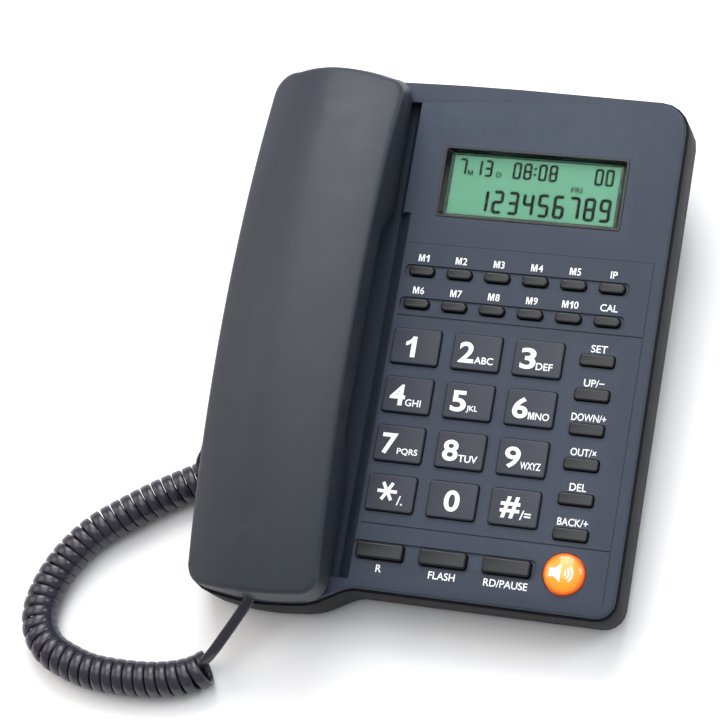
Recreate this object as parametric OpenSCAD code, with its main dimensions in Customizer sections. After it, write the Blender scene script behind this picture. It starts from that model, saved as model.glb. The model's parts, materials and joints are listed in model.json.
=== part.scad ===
// Corded desk telephone with a caller display.
// The face is drawn flat in its own frame (x right, y rearward, z out of the face) and then
// tilted onto a wedge-shaped plinth. World frame: +Z up, front of the phone towards -Y, Z = 0 the desk.

/* [Base] */
// Width of the face plate
face_w = 162.1; // [150:1:200]
// Length of the face plate, front to rear
face_l = 196.4; // [180:1:240]
// Tilt of the face above the desk, in degrees
tilt = 8; // [5:0.5:12]
// Height of the face's centre above the desk
face_h = 40; // [39:1:60]
// Thickness of the face plate
plate_t = 2.5; // [2:0.1:3.2]
// Depth of the lower case's side walls, measured down from the face
slab_d = 20; // [19:0.5:24]
// Wall of the lower case
case_wall = 2.2; // [1.6:0.1:3]
// How far the lower case stands outside the face plate
case_lip = 1; // [0.5:0.1:2]
// Gap along the parting line between the two cases
parting_gap = 0.3; // [0.1:0.1:0.6]
// Inset of the plinth from the case's sides
plinth_inset = 10; // [6:1:20]

/* [Display] */
// Width of the display frame
bezel_w = 71.2; // [60:1:80]
// Length of the display frame, front to rear
bezel_l = 27.7; // [24:0.1:34]
// Width of the display window that can be seen
window_w = 66.5; // [50:0.5:68]
// Length of the display window that can be seen
window_l = 24.4; // [16:0.1:25]
// Thickness of the display window
window_t = 1.2; // [0.8:0.1:1.6]

/* [Keys] */
// Width of a dial key
dial_w = 18.3; // [14:0.1:20]
// Length of a dial key
dial_l = 13.6; // [10:0.1:15.5]
// Spacing of the dial keys across
dial_dx = 23.5; // [22:0.1:26]
// Spacing of the dial keys front to rear
dial_dy = 18.7; // [17.5:0.1:20]
// Width of a memory key
memory_w = 9.8; // [7:0.1:11]
// Length of a memory key
memory_l = 3.6; // [3:0.1:4.4]
// Spacing of the memory keys
memory_dx = 14.6; // [14:0.1:15.5]
// Width of a key in the column at the side
side_w = 12.8; // [9:0.1:14]
// Length of a key in the column at the side
side_l = 4.4; // [3.4:0.1:6]
// Spacing of the keys in the column at the side
side_dy = 13; // [11:0.1:14]
// Width of a key in the front row
lower_w = 17.8; // [12:0.1:20]
// Length of a key in the front row
lower_l = 5.8; // [4:0.1:7]
// Radius of the round speaker key
speaker_key_r = 7.6; // [6:0.1:8.6]
// How far the dial keys stand out of the face
key_rise = 1.5; // [0.8:0.1:2.5]
// Travel of every key
key_travel = 1.5; // [1:0.1:1.6]
// Gap round each key in its hole
key_gap = 0.35; // [0.2:0.05:0.5]

/* [Handset] */
// Width of the handset
hand_w = 53.5; // [46:0.5:56]
// Length of the handset
hand_l = 204; // [180:1:206]
// Height of the handset's crown above the face
crown_h = 34; // [30:0.5:40]
// Radius of the handset's long arch
arch_r = 382; // [300:1:600]
// Wall of the handset's shells
hand_wall = 2.2; // [1.6:0.1:3]
// Height of the grip's underside above the face
grip_h = 12; // [8:0.5:13]
// Depth of the cradle wells below the face
well_d = 6; // [4:0.5:6]

/* [Cord] */
// Width of the flat lead
lead_w = 4; // [3:0.1:4.5]
// Outer diameter of the curled cord
coil_d = 14; // [11:0.5:14]
// Width of a modular plug
plug_w = 7.65; // [7:0.05:9.65]
// Height of a modular plug
plug_h = 6.6; // [6:0.1:6.6]
// Length of a modular plug
plug_l = 11.7; // [10:0.1:13]

/* [Batteries] */
// Diameter of a battery
cell_d = 14.2; // [10:0.1:14.5]
// Length of a battery
cell_l = 50.3; // [44:0.1:52]

/* [Hidden] */
$fn = 48;
ARC_STEPS = 5;               // pieces in each rounded corner
fit = 0.3;                   // running gap between pieces
touch = 0.05;                // overlap that joins two shapes of one solid

dial_names = ["1", "2", "3", "4", "5", "6", "7", "8", "9", "star", "0", "hash"];
memory_names = ["m1", "m2", "m3", "m4", "m5", "ip", "m6", "m7", "m8", "m9", "m10", "call"];
side_names = ["set", "up", "down", "out", "delete", "back"];
lower_names = ["recall", "flash", "redial"];

dial_nodes = [for (n = dial_names) str("dial_key_", n)];
memory_nodes = [for (n = memory_names) str("memory_key_", n)];
side_nodes = [for (n = side_names) str("side_key_", n)];
lower_nodes = [for (n = lower_names) str("front_key_", n)];
base_nodes = ["lower_case", "upper_case", "display_bezel", "display_window", "lcd_panel", "main_board",
    "key_mat", "loudspeaker", "line_jack", "handset_jack", "rubber_feet", "case_screws", "battery_door",
    "batteries", "hook_plunger", "hook_switch"];
hand_nodes = ["handset_outer_shell", "handset_inner_shell", "receiver_capsule", "handset_microphone",
    "handset_screws"];
cord_nodes = ["handset_plug", "cord_lead", "cord_coil", "cord_tail", "base_plug"];

// --- places on the face, from its centre ---
dial_at = [for (row = [0:3], col = [0:2]) [-7.35 + col * dial_dx, -6 - row * dial_dy]];
memory_at = [for (row = [0:1], col = [0:5]) [-10.25 + col * memory_dx, 23.4 - 12.7 * row]];
side_at = [for (row = [0:5]) [61.55, -4.4 - row * side_dy]];
lower_at = [for (col = [0:2]) [-7.95 + col * 24, -83.9]];
speaker_at = [61.45, -83.9];
display_at = [26.5, 59.5];
hand_at = [-50.8, -4.4];    // middle of the handset in plan

// --- levels below the face ---
slot_depth = 0.8;            // shallow grooves that the small keys stand in
flange_z = -plate_t - 0.2;   // top of a key's flange
flange_t = 1;
flange_out = 0.9;            // how far a flange reaches past its hole
stem_z = flange_z - flange_t - 0.5;
mat_top = stem_z - key_travel - 0.2;
mat_t = 0.6;
mat_boss = 0.5;
mat_z = mat_top - mat_boss - mat_t;
board_t = 1.6;
board_z = mat_z - board_t;   // underside of the circuit board
slab_floor = -slab_d + 2.5;  // top of the lower case's floor
parting_z = -plate_t - parting_gap;
well_floor = -well_d;
tub_t = 1.8;                 // wall of the cradle wells
tub_z = well_floor - tub_t;

// --- cradle wells ---
well_x = [-78, -18.3];       // edges at the face, beside the grip
well_slope = [1.5, 5.5];     // how far each side slopes in
well_y = [-95, 46];
ear_well_x = [-77.4, -21.4];   // the narrower well round the ear cup
ear_well_slope = [1.2, 2.5];
ear_well_y = [40, 90];
cup_gap = 0.4;               // between the handset's cups and the wells' floor

// --- plinth and feet ---
foot_h = 3;
foot_r = 6;
floor_t = 2.2;
plinth_z = foot_h + floor_t; // top of the plinth's floor
plinth_corner = 8;

rear_bow = 1.8;              // how far the rear corners stand back from the middle of the rear edge

// --- outlines: each corner is [x, y, radius] ---
function unit(v) = v / norm(v);
function corner_arc(a, b, c, steps) = let (
    p = [b.x, b.y], u = unit([a.x, a.y] - p), w = unit([c.x, c.y] - p),
    half = acos(max(-1, min(1, u * w))) / 2, r = b[2],
    centre = p + unit(u + w) * (r / sin(half)),
    s = p + u * (r / tan(half)) - centre, e = p + w * (r / tan(half)) - centre,
    first = atan2(s.y, s.x), turn = (atan2(e.y, e.x) - first + 540) % 360 - 180)
    [for (i = [0:steps]) centre + r * [cos(first + turn * i / steps), sin(first + turn * i / steps)]];
function outline(corners, steps = ARC_STEPS) = let (n = len(corners))
    [for (i = [0:n - 1]) each corners[i][2] > 0
        ? corner_arc(corners[(i + n - 1) % n], corners[i], corners[(i + 1) % n], steps)
        : [[corners[i].x, corners[i].y]]];
function box_corners(w, l, r) =
    [[-w / 2, -l / 2, r], [w / 2, -l / 2, r], [w / 2, l / 2, r], [-w / 2, l / 2, r]];

// The face plate's outline, grown by g. Its front bulges forward under the handset, and its rear is bowed.
function case_corners(g) = let (hw = face_w / 2 + g, hl = face_l / 2 + g) [
    [-hw, -hl - 5.6, 12 + g], [-56, -hl - 10.2, 90 + g], [-32, -hl - 7.8, 22 + g], [-18, -hl, 14 - g],
    [hw, -hl, 7 + g], [hw, hl - rear_bow, 11 + g], [0, hl, 1200], [-hw, hl - rear_bow, 11 + g]];

// The face's centre is set so that the object's box is centred on the origin.
front_y = min([for (p = outline(case_corners(case_lip))) p.y]) * cos(tilt) - parting_z * sin(tilt);
rear_y = max([for (p = outline(case_corners(case_lip))) p.y]) * cos(tilt) + slab_d * sin(tilt);
face_y = -(front_y + rear_y) / 2;

module on_face() translate([0, face_y, face_h]) rotate([tilt, 0, 0]) children();
module slab(corners, z0, z1) translate([0, 0, z0]) linear_extrude(height = z1 - z0) polygon(outline(corners));
module block(w, l, r, z0, z1) slab(box_corners(w, l, r), z0, z1);
// a bar along Y whose section is drawn as [x, z, radius]
module bar_y(corners, y0, y1) translate([0, y1, 0]) rotate([90, 0, 0])
    linear_extrude(height = y1 - y0) polygon(outline(corners));
// a bar along X whose section is drawn as [y, z, radius]
module bar_x(corners, x0, x1) translate([x0, 0, 0]) rotate([90, 0, 90])
    linear_extrude(height = x1 - x0) polygon(outline(corners));

// --- keys: the cap stands through the plate, the flange holds it under the plate ---
module key_pad(corners, flange_corners, rise, stem_r) {
    slab(corners, flange_z - touch, rise);
    slab(flange_corners, flange_z - flange_t, flange_z);
    translate([0, 0, stem_z]) cylinder(h = flange_z - stem_z, r = stem_r);
}
module flat_key(w, l, r, rise, stem_r = 1.6) key_pad(box_corners(w, l, r),
    box_corners(w + 2 * flange_out + 2 * key_gap, l + 2 * flange_out, r), rise, stem_r);
module dial_key(i) color("#474b59") on_face() translate([dial_at[i].x, dial_at[i].y, 0])
    flat_key(dial_w, dial_l, 1.1, key_rise);
module memory_key(i) color("#3d4045") on_face() translate([memory_at[i].x, memory_at[i].y, 0])
    flat_key(memory_w, memory_l, memory_l / 2 - 0.05, 1.3, 1.2);
module side_key(i) color("#3d4045") on_face() translate([side_at[i].x, side_at[i].y, 0])
    flat_key(side_w, side_l, 1, 1.5, 1.4);
module front_key(i) color("#3d4045") on_face() translate([lower_at[i].x, lower_at[i].y, 0])
    flat_key(lower_w, lower_l, 1, 1.8);
speaker_rise = 3.2;          // top of the round key's dome
speaker_edge = 1.2;          // height of the dome's rim
module speaker_key() color("#ff9a1e") on_face() translate([speaker_at.x, speaker_at.y, 0]) {
    dome_r = (speaker_key_r * speaker_key_r + pow(speaker_rise - speaker_edge, 2))
        / (2 * (speaker_rise - speaker_edge));
    translate([0, 0, flange_z - touch]) cylinder(h = speaker_edge - flange_z + touch, r = speaker_key_r);
    intersection() {
        translate([0, 0, speaker_edge - touch]) cylinder(h = speaker_rise, r = speaker_key_r);
        translate([0, 0, speaker_rise - dome_r]) sphere(r = dome_r, $fn = 96);
    }
    translate([0, 0, flange_z - flange_t]) cylinder(h = flange_t, r = speaker_key_r + flange_out);
    translate([0, 0, stem_z]) cylinder(h = flange_z - stem_z, r = 2);
}

// --- upper case: face plate, cradle wells and the lip that locates it in the lower case ---
function well_section(x, slope, g) = [
    [x[0] - g, 5, 0], [x[0] - g, 0, 0], [x[0] + slope[0] - g, well_floor - g, 1.2 + g],
    [x[1] - slope[1] + g, well_floor - g, 1.2 + g], [x[1] + g, 0, 0], [x[1] + g, 5, 0]];
module wells(g, top) {
    bar_y([for (p = well_section(well_x, well_slope, g)) [p.x, min(p.y, top), p[2]]],
        well_y[0] - g, well_y[1] + g);
    bar_y([for (p = well_section(ear_well_x, ear_well_slope, g)) [p.x, min(p.y, top), p[2]]],
        ear_well_y[0] - g, ear_well_y[1] + g);
}
plunger_at = [-51, 70];
plunger_w = 7;
plunger_l = 5;
post_r = 3.2;                // screw posts between the two cases
screw_r = 1.4;
post_at = [[69, 84], [73.5, -91.6], [-9, 84], [-13, -91.6]];
hook_top = well_floor + 0.2; // top of the plunger while the handset rests on it
module key_hole(at, w, l, r) translate([at.x, at.y, 0])
    block(w + 2 * key_gap, l + 2 * key_gap, r + key_gap, -plate_t - 1, 5);
module groove(x0, x1, y, l, r) slab([[x0, y - l / 2, r], [x1, y - l / 2, r], [x1, y + l / 2, r],
    [x0, y + l / 2, r]], -slot_depth, 5);
lip_inset = case_lip - case_wall - fit; // the lip stands inside the lower case's wall
lip_d = 2.5;
lip_t = 1.6;
module upper_case() color("#434a5a") on_face() difference() {
    union() {
        slab(case_corners(0), -plate_t, 0);
        intersection() {
            wells(tub_t, -0.5);
            slab(case_corners(lip_inset), tub_z - 1, 0);
        }
        difference() {
            slab(case_corners(lip_inset), -plate_t - lip_d, -plate_t + touch);
            slab(case_corners(lip_inset - lip_t), -plate_t - lip_d - 1, -plate_t + 2 * touch);
        }
        for (p = post_at) translate([p.x, p.y, board_z - 4])
            cylinder(h = -plate_t - board_z + 4 + touch, r = post_r);
    }
    wells(0, 5);
    translate([display_at.x, display_at.y, 0])
        block(bezel_w + 0.3, bezel_l + 0.3, 1.2, -plate_t - 1, 5);
    for (p = dial_at) key_hole(p, dial_w, dial_l, 1.1);
    for (p = memory_at) key_hole(p, memory_w, memory_l, memory_l / 2 - 0.05);
    for (row = [0:1]) groove(memory_at[0].x - memory_w / 2 - 1.6, memory_at[5].x + memory_w / 2 + 1.6,
        memory_at[6 * row].y, memory_l + 1.5, memory_l / 2);
    for (p = side_at) key_hole(p, side_w, side_l, 1);
    for (p = lower_at) key_hole(p, lower_w, lower_l, 1);
    groove(lower_at[0].x - lower_w / 2 - 1.8, lower_at[2].x + lower_w / 2 + 1.8, lower_at[0].y,
        lower_l + 1.6, 1.6);
    translate([speaker_at.x, speaker_at.y, -plate_t - 1]) cylinder(h = 10, r = speaker_key_r + key_gap);
    translate([plunger_at.x, plunger_at.y, tub_z - 1])
        block(plunger_w + 2 * fit, plunger_l + 2 * fit, 0, 0, tub_t + 3);
    for (p = post_at) translate([p.x, p.y, board_z - 5]) cylinder(h = 9, r = screw_r - 0.2);
}

// --- display ---
seat_z = -2;                 // where the window sits under the frame
module display_bezel() color("#15171b") on_face() translate([display_at.x, display_at.y, 0]) difference() {
    block(bezel_w, bezel_l, 1.1, seat_z - window_t, 0.3);
    hull() {
        block(window_w, window_l, 1, seat_z - 0.1, seat_z);
        block(bezel_w - 1.4, bezel_l - 1.2, 1, 0.4, 0.5);
    }
    block(window_w + 1.4, window_l + 1.4, 1, seat_z - window_t - 1, seat_z);
}
module display_window() color([0.6, 0.8, 0.7, 0.4]) on_face() translate([display_at.x, display_at.y, 0])
    block(window_w + 1.2, window_l + 1.2, 0.9, seat_z - window_t, seat_z);
lcd_top = seat_z - window_t - 0.2;
lcd_t = 2.4;
module lcd_panel() color("#5aa37f") on_face() translate([display_at.x, display_at.y, 0])
    block(window_w + 0.6, window_l + 0.6, 0.6, lcd_top - lcd_t, lcd_top);

// --- rubber mat under the keys, and the circuit board ---
mat_x = [-18.5, 74.5];
mat_y = [-93, 29];
module rect(x, y, z0, z1, r = 0) slab([[x[0], y[0], r], [x[1], y[0], r], [x[1], y[1], r], [x[0], y[1], r]],
    z0, z1);
post_room = post_r + 0.8;    // clear radius round a screw post
module key_mat() color("#8b8e92") on_face() difference() {
    union() {
        rect(mat_x, mat_y, mat_z, mat_z + mat_t, 2);
        for (p = concat(dial_at, lower_at, [speaker_at])) translate([p.x, p.y, mat_z + mat_t - touch])
            cylinder(h = mat_boss + touch, r = 2.4, $fn = 24);
        for (p = concat(memory_at, side_at)) translate([p.x, p.y, mat_z + mat_t - touch])
            cylinder(h = mat_boss + touch, r = 1.7, $fn = 24);
    }
    for (p = post_at) translate([p.x, p.y, mat_z - 1]) cylinder(h = 5, r = post_room);
}
board_x = [-19.5, 75];
board_y = [-94, 76];
module chip(x, y, w, l, h) translate([x, y, 0]) block(w, l, 0, board_z - h, board_z + touch);
module can(x, y, r, h) translate([x, y, board_z - h]) cylinder(h = h + touch, r = r);
module main_board() color("#2e5d3a") on_face() difference() {
    union() {
        rect(board_x, board_y, board_z, board_z + board_t, 1);
        chip(10, -20, 18, 10, 2.4);
        chip(48, -52, 10, 14, 2.2);
        chip(40, 55, 22, 8, 1.6);
        chip(-2, -62, 8, 8, 6);
        for (i = [0:3]) can(58, 8 + 9 * i, 3.2, 7);
        for (i = [0:2]) can(-8, 20 + 9 * i, 2.5, 6);
    }
    for (p = post_at) translate([p.x, p.y, board_z - 1]) cylinder(h = 5, r = post_room);
}

// --- lower case ---
plinth_x = [-face_w / 2 + plinth_inset, face_w / 2 - plinth_inset];
plinth_y = [-face_l / 2 + plinth_inset + 8, face_l / 2 - plinth_inset + 2];
cell_n = 3;
cell_pitch = cell_d + 0.6;
bay_w = cell_l + 6;          // inside of the battery bay, along X
bay_l = cell_n * cell_pitch + 0.8;
bay_wall = 4.5;
bay_roof = 2;
bay_y = [plinth_y[1] - 8 - bay_l, plinth_y[1] - 8];
cell_z = foot_h + 2 + cell_d / 2 + 0.4;
bay_top = cell_z + cell_d / 2 + 0.4;
door_t = 1.8;
door_w = bay_w - 1;
door_flange = 2.2;           // how far the door's tongues reach into their grooves
speaker_r = 20;              // loudspeaker in the plinth
horn_at = [14, -2];
jack_w = 13;
jack_h = 9;
jack_l = 14;
socket_w = plug_w + 0.6;
socket_h = plug_h + 0.6;
handset_jack_y = -44;        // along the face
jack_z = tub_z - 0.5 - jack_h / 2;
line_w = 9.8;                // socket for the telephone line
line_h = 6.9;
line_x = 43;
line_z = -11;
module line_cut(w, h, depth) translate([line_x, face_l / 2 + case_lip + 0.5, line_z - h / 2])
    rotate([90, 0, 0]) linear_extrude(height = depth) translate([-w / 2, 0]) square([w, h]);
module handset_cut(w, h, depth)
    translate([-face_w / 2 - case_lip - 1, handset_jack_y - w / 2, jack_z - h / 2])
    cube([depth, w, h]);
module plinth_block(g, z0, z1) slab([[plinth_x[0] - g, plinth_y[0] - g, plinth_corner + g],
    [plinth_x[1] + g, plinth_y[0] - g, plinth_corner + g],
    [plinth_x[1] + g, plinth_y[1] + g, plinth_corner + g],
    [plinth_x[0] - g, plinth_y[1] + g, plinth_corner + g]], z0, z1);
module world_below_face(d) intersection() {
    children();
    on_face() translate([-200, -200, -200]) cube([400, 400, 200 - d]);
}
grille_rows = 7;
grille_step = 4.6;
module grille_slots() for (i = [0:grille_rows - 1]) let (
    y = (i - (grille_rows - 1) / 2) * grille_step, half = sqrt(pow(speaker_r - 3, 2) - y * y))
    translate([horn_at.x, horn_at.y + y, 0]) block(2 * half, 2, 0.95, foot_h - 1, plinth_z + 1);
feet_at = [for (sx = [-1, 1], y = [plinth_y[0] + 12, plinth_y[1] - 14])
    [sx * (face_w / 2 - plinth_inset - 12), y]];
module lower_case() color("#35363a") difference() {
    union() {
        difference() {
            union() {
                on_face() slab(case_corners(case_lip), -slab_d, parting_z);
                world_below_face(slab_d - 1) plinth_block(0, foot_h, face_h + 40);
            }
            on_face() slab(case_corners(case_lip - case_wall), slab_floor, 1);
            world_below_face(slab_d - 5) plinth_block(-case_wall, plinth_z, face_h + 40);
        }
        world_below_face(slab_d - 1) difference() {
            slab([[-bay_w / 2 - bay_wall, bay_y[0] - bay_wall, 0],
                [bay_w / 2 + bay_wall, bay_y[0] - bay_wall, 0],
                [bay_w / 2 + bay_wall, bay_y[1] + bay_wall, 0],
                [-bay_w / 2 - bay_wall, bay_y[1] + bay_wall, 0]],
                foot_h, bay_top + bay_roof);
            slab([[-bay_w / 2, bay_y[0], 0], [bay_w / 2, bay_y[0], 0], [bay_w / 2, bay_y[1], 0],
                [-bay_w / 2, bay_y[1], 0]], foot_h - 1, bay_top);
        }
        for (p = post_at) world_posts(p, 3.2);
        translate([horn_at.x, horn_at.y, plinth_z - touch]) difference() {
            cylinder(h = 4, r = speaker_r + 2);
            translate([0, 0, -1]) cylinder(h = 6, r = speaker_r + 0.3);
        }
    }
    for (p = post_at) world_posts(p, screw_r + 0.3, 1);
    // battery opening, with grooves that the door's tongues slide in
    slab([[-door_w / 2 - fit, bay_y[0] - 2, 0], [door_w / 2 + fit, bay_y[0] - 2, 0],
        [door_w / 2 + fit, plinth_y[1] + 9, 0], [-door_w / 2 - fit, plinth_y[1] + 9, 0]], foot_h - 1,
        foot_h + door_t + fit);
    slab([[-door_w / 2 - door_flange - fit, bay_y[0] - 2, 0],
        [door_w / 2 + door_flange + fit, bay_y[0] - 2, 0],
        [door_w / 2 + door_flange + fit, plinth_y[1] + 9, 0],
        [-door_w / 2 - door_flange - fit, plinth_y[1] + 9, 0]],
        foot_h + 0.9, foot_h + door_t + fit);
    grille_slots();
    on_face() line_cut(line_w + 3.4, line_h + 3.4, case_wall + 2);
    on_face() handset_cut(socket_w + 0.6, socket_h + 0.6, case_wall + 2);
    for (p = feet_at) translate([p.x, p.y, foot_h - 1]) cylinder(h = 2, r = foot_r + 0.1);
}
post_seat = -slab_d + 2.2;   // where a screw's head sits in its post
module world_posts(p, r, through = 0) on_face() translate([p.x, p.y, -slab_d - 12 * through])
    cylinder(h = slab_d + board_z - 4 - 0.1 + 12 * through + touch * through, r = r);

// --- battery door: slides out over the plinth's rear edge ---
module battery_door() color("#303135") difference() {
    union() {
        slab([[-door_w / 2, bay_y[0] - 2 + fit, 0], [door_w / 2, bay_y[0] - 2 + fit, 0],
            [door_w / 2, plinth_y[1], 0], [-door_w / 2, plinth_y[1], 0]], foot_h, foot_h + door_t);
        slab([[-door_w / 2 - door_flange, bay_y[0] - 2 + fit, 0],
            [door_w / 2 + door_flange, bay_y[0] - 2 + fit, 0],
            [door_w / 2 + door_flange, plinth_y[1], 0], [-door_w / 2 - door_flange, plinth_y[1], 0]],
            foot_h + 1.1, foot_h + door_t);
    }
    for (i = [0:4]) translate([0, bay_y[0] + 6 + 3 * i, foot_h - 0.5]) block(24 - 3 * i, 1.2, 0.5, 0, 1);
}
module batteries() color("#b08a4a") for (i = [0:cell_n - 1])
    translate([-cell_l / 2, bay_y[0] + 0.4 + (i + 0.5) * cell_pitch, cell_z]) rotate([0, 90, 0]) {
        cylinder(h = cell_l - 1.2, r = cell_d / 2);
        translate([0, 0, cell_l - 1.2 - touch]) cylinder(h = 1.2 + touch, r = 2.6);
    }

// --- loudspeaker, feet, screws, jacks ---
module loudspeaker() color("#6d6f73") translate([horn_at.x, horn_at.y, plinth_z + 0.1]) {
    cylinder(h = 2, r = speaker_r);
    translate([0, 0, 2 - touch]) cylinder(h = 4, r1 = speaker_r - 2, r2 = 11);
    translate([0, 0, 6 - 2 * touch]) cylinder(h = 5, r = 10);
}
module rubber_feet() color("#1c1c1e") for (p = feet_at) translate([p.x, p.y, 0])
    cylinder(h = foot_h + 0.9, r = foot_r);
module case_screws() color("#a8abb0") on_face() for (p = post_at) translate([p.x, p.y, 0]) {
    translate([0, 0, post_seat - 2]) cylinder(h = 2, r = screw_r + 0.25);
    translate([0, 0, post_seat - touch]) cylinder(h = board_z + 4 - post_seat, r = screw_r - 0.25);
}
module line_jack() color("#202124") on_face() difference() {
    translate([line_x, face_l / 2 - jack_l / 2 - 1.2, 0])
        block(line_w + 3, jack_l, 0.5, line_z - line_h / 2 - 1.5, line_z + line_h / 2 + 1.5);
    line_cut(line_w, line_h, jack_l);
}
module handset_jack() color("#202124") on_face() difference() {
    translate([-face_w / 2 - case_lip + case_wall + 0.1, handset_jack_y - jack_w / 2, jack_z - jack_h / 2])
        cube([jack_l, jack_w, jack_h]);
    handset_cut(socket_w, socket_h, plug_l + 3.4);
}

// --- hook switch and the plunger that the handset holds down ---
plunger_rise = 3.5;
hook_flange_z = tub_z - 0.2 - plunger_rise;
hook_flange_t = 1;
module hook_plunger() color("#d8d9dc") on_face() translate([plunger_at.x, plunger_at.y, 0]) {
    block(plunger_w, plunger_l, 0, hook_flange_z - touch, hook_top);
    block(plunger_w + 4, plunger_l + 4, 0, hook_flange_z - hook_flange_t, hook_flange_z);
}
module hook_switch() color("#26282c") on_face() translate([plunger_at.x, plunger_at.y, 0])
    block(16, 12, 0, slab_floor - 1, hook_flange_z - hook_flange_t - 0.3);

// --- handset ---
split_d = 17;                // the shells part this far below the crown
cup_z = well_floor + cup_gap;
under_z = 0.6;               // the handset's underside beside its cups
ear_y = [46, 89];
mouth_y = [-93, -58];
grip_y = [-57, 44];
hand_x = [hand_at.x - hand_w / 2, hand_at.x + hand_w / 2];
hand_y = [hand_at.y - hand_l / 2, hand_at.y + hand_l / 2];
end_bow = 1.4;               // how far each end is bowed out in plan
hand_plan = [
    [hand_x[0], hand_y[0] + end_bow, 10], [hand_at.x, hand_y[0] - end_bow, 150],
    [hand_x[1], hand_y[0] + end_bow, 10], [hand_x[1], hand_y[1] - end_bow, 10],
    [hand_at.x, hand_y[1] + end_bow, 150], [hand_x[0], hand_y[1] - end_bow, 10]];
// side view of the two ends, which are rounded where they meet the arch
end_half = hand_l / 2 + end_bow;
end_z = crown_h - arch_r + sqrt(arch_r * arch_r - end_half * end_half);
end_peak = end_z + end_half * tan(asin(end_half / arch_r));
end_r = 8;
hand_ends = [[hand_at.y - end_half, -30, 0], [hand_at.y - end_half, end_z, end_r], [hand_at.y, end_peak, 0],
    [hand_at.y + end_half, end_z, end_r], [hand_at.y + end_half, -30, 0]];
// section across the handset: [distance from the arch's axis, x, radius]
hand_section = [
    [arch_r - 60, hand_x[0] - touch, 0], [arch_r - 9, hand_x[0] - touch, 12], [arch_r, hand_x[0] + 21, 40],
    [arch_r - 1.2, hand_x[0] + 36, 60], [arch_r - 5, hand_x[1] + touch, 3.4],
    [arch_r - 60, hand_x[1] + touch, 0]];
// the hollow inside, kept one wall in from every face
room_x = [hand_x[0] + hand_wall, hand_x[1] - hand_wall];
room_end = hand_wall + 2.4;
room_section = [[arch_r - 60, room_x[0] - 5], [arch_r - 14 - hand_wall, room_x[0] - 5],
    [arch_r - 1 - hand_wall, hand_x[0] + 20], [arch_r - 1.9 - hand_wall, hand_x[0] + 36],
    [arch_r - 5.6 - hand_wall, room_x[1] + 5], [arch_r - 60, room_x[1] + 5]];
function grip_arch(g) = [
    [grip_y[0] - 9 - g, -30, 0], [grip_y[0] - g, grip_h + g, 14 + g], [grip_y[1] + g, grip_h + g, 14 + g],
    [grip_y[1] + 9 + g, -30, 0]];
hand_sweep = 40;             // degrees, more than the handset's own length covers
module along_arch() translate([0, hand_at.y, crown_h - arch_r]) rotate([90, 0, 90])
    rotate([0, 0, 90 - hand_sweep / 2]) children();
module grip_cut(g) difference() {
    translate([-200, -200, -50]) cube([400, 400, 150]);
    bar_x(grip_arch(g), -200, 200);
}
module revolved(points) along_arch() rotate_extrude(angle = hand_sweep, $fn = 360) polygon(points);
module hand_body() intersection() {
    slab(hand_plan, under_z, crown_h + 5);
    revolved(outline(hand_section, 4));
    bar_x(hand_ends, -200, 200);
    grip_cut(0);
}
module hand_room() intersection() {
    rect(room_x, [hand_y[0] + room_end, hand_y[1] - room_end], under_z + hand_wall, crown_h + 5, 7);
    revolved(room_section);
    grip_cut(hand_wall);
}
module cup(y, g, x_in = 2.5) slab([[hand_x[0] + x_in + g, y[0] + g, 9], [hand_x[1] - x_in - g, y[0] + g, 9],
    [hand_x[1] - x_in - g, y[1] - g, 9], [hand_x[0] + x_in + g, y[1] - g, 9]], cup_z + g, under_z + 4);
module above_split(gap) along_arch() rotate_extrude(angle = hand_sweep, $fn = 360)
    translate([arch_r - split_d + gap, -200]) square([100, 400]);
module handset_outer_shell() color("#50576a") on_face() difference() {
    intersection() {
        hand_body();
        above_split(0.1);
    }
    hand_room();
    plug_space(plug_room, plug_l);
}
ear_holes = [for (i = [0:6]) i == 0 ? [0, 0] : 6 * [cos(60 * i), sin(60 * i)]];
ear_at = [hand_at.x, 68];
mouth_at = [hand_at.x, -80];
hand_plug_x = -53.5;
plug_room = 0.3;
hand_plug_z = under_z - 0.3 + plug_h / 2; // the plug sits in a notch that is open below
hand_plug_y = hand_y[0] - 1.1; // front of the plug, just proud of the handset's end
module plug_space(g, l)
    translate([hand_plug_x - plug_w / 2 - g, hand_plug_y - 4, hand_plug_z - plug_h / 2 - g])
    cube([plug_w + 2 * g, l + 4 + g, plug_h + 2 * g]);
module handset_inner_shell() color("#3c3e43") on_face() difference() {
    union() {
        difference() {
            union() {
                hand_body();
                cup(ear_y, 0);
                cup(mouth_y, 0);
            }
            above_split(0);
            hand_room();
            cup(ear_y, hand_wall);
            cup(mouth_y, hand_wall);
        }
        difference() {
            translate([hand_plug_x - plug_w / 2 - 2, hand_y[0] + room_end + 0.2, under_z + touch])
                cube([plug_w + 4, plug_l - 2, plug_h + 2]);
            plug_space(plug_room, plug_l);
        }
    }
    plug_space(plug_room, plug_l);
    for (h = ear_holes) translate([ear_at.x + h.x, ear_at.y + h.y, cup_z - 1])
        cylinder(h = 5, r = 1, $fn = 16);
    translate([mouth_at.x, mouth_at.y, cup_z - 1]) cylinder(h = 5, r = 1.2, $fn = 16);
    for (p = hand_screw_at) translate([p.x, p.y, cup_z - 1]) cylinder(h = 6, r = screw_r + 0.2, $fn = 24);
}
hand_screw_at = [[hand_at.x + 17, ear_y[1] - 7], [hand_at.x - 17, ear_y[1] - 7], [hand_at.x, mouth_y[0] + 6]];
module receiver_capsule() color("#7a7c80") on_face()
    translate([ear_at.x, ear_at.y, cup_z + hand_wall + 0.2]) {
    cylinder(h = 5, r = 15.5);
    translate([0, 0, 5 - touch]) cylinder(h = 3, r = 9);
}
module handset_microphone() color("#9a9ca0") on_face()
    translate([mouth_at.x, mouth_at.y, cup_z + hand_wall + 0.2]) cylinder(h = 6.5, r = 4.8);
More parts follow.
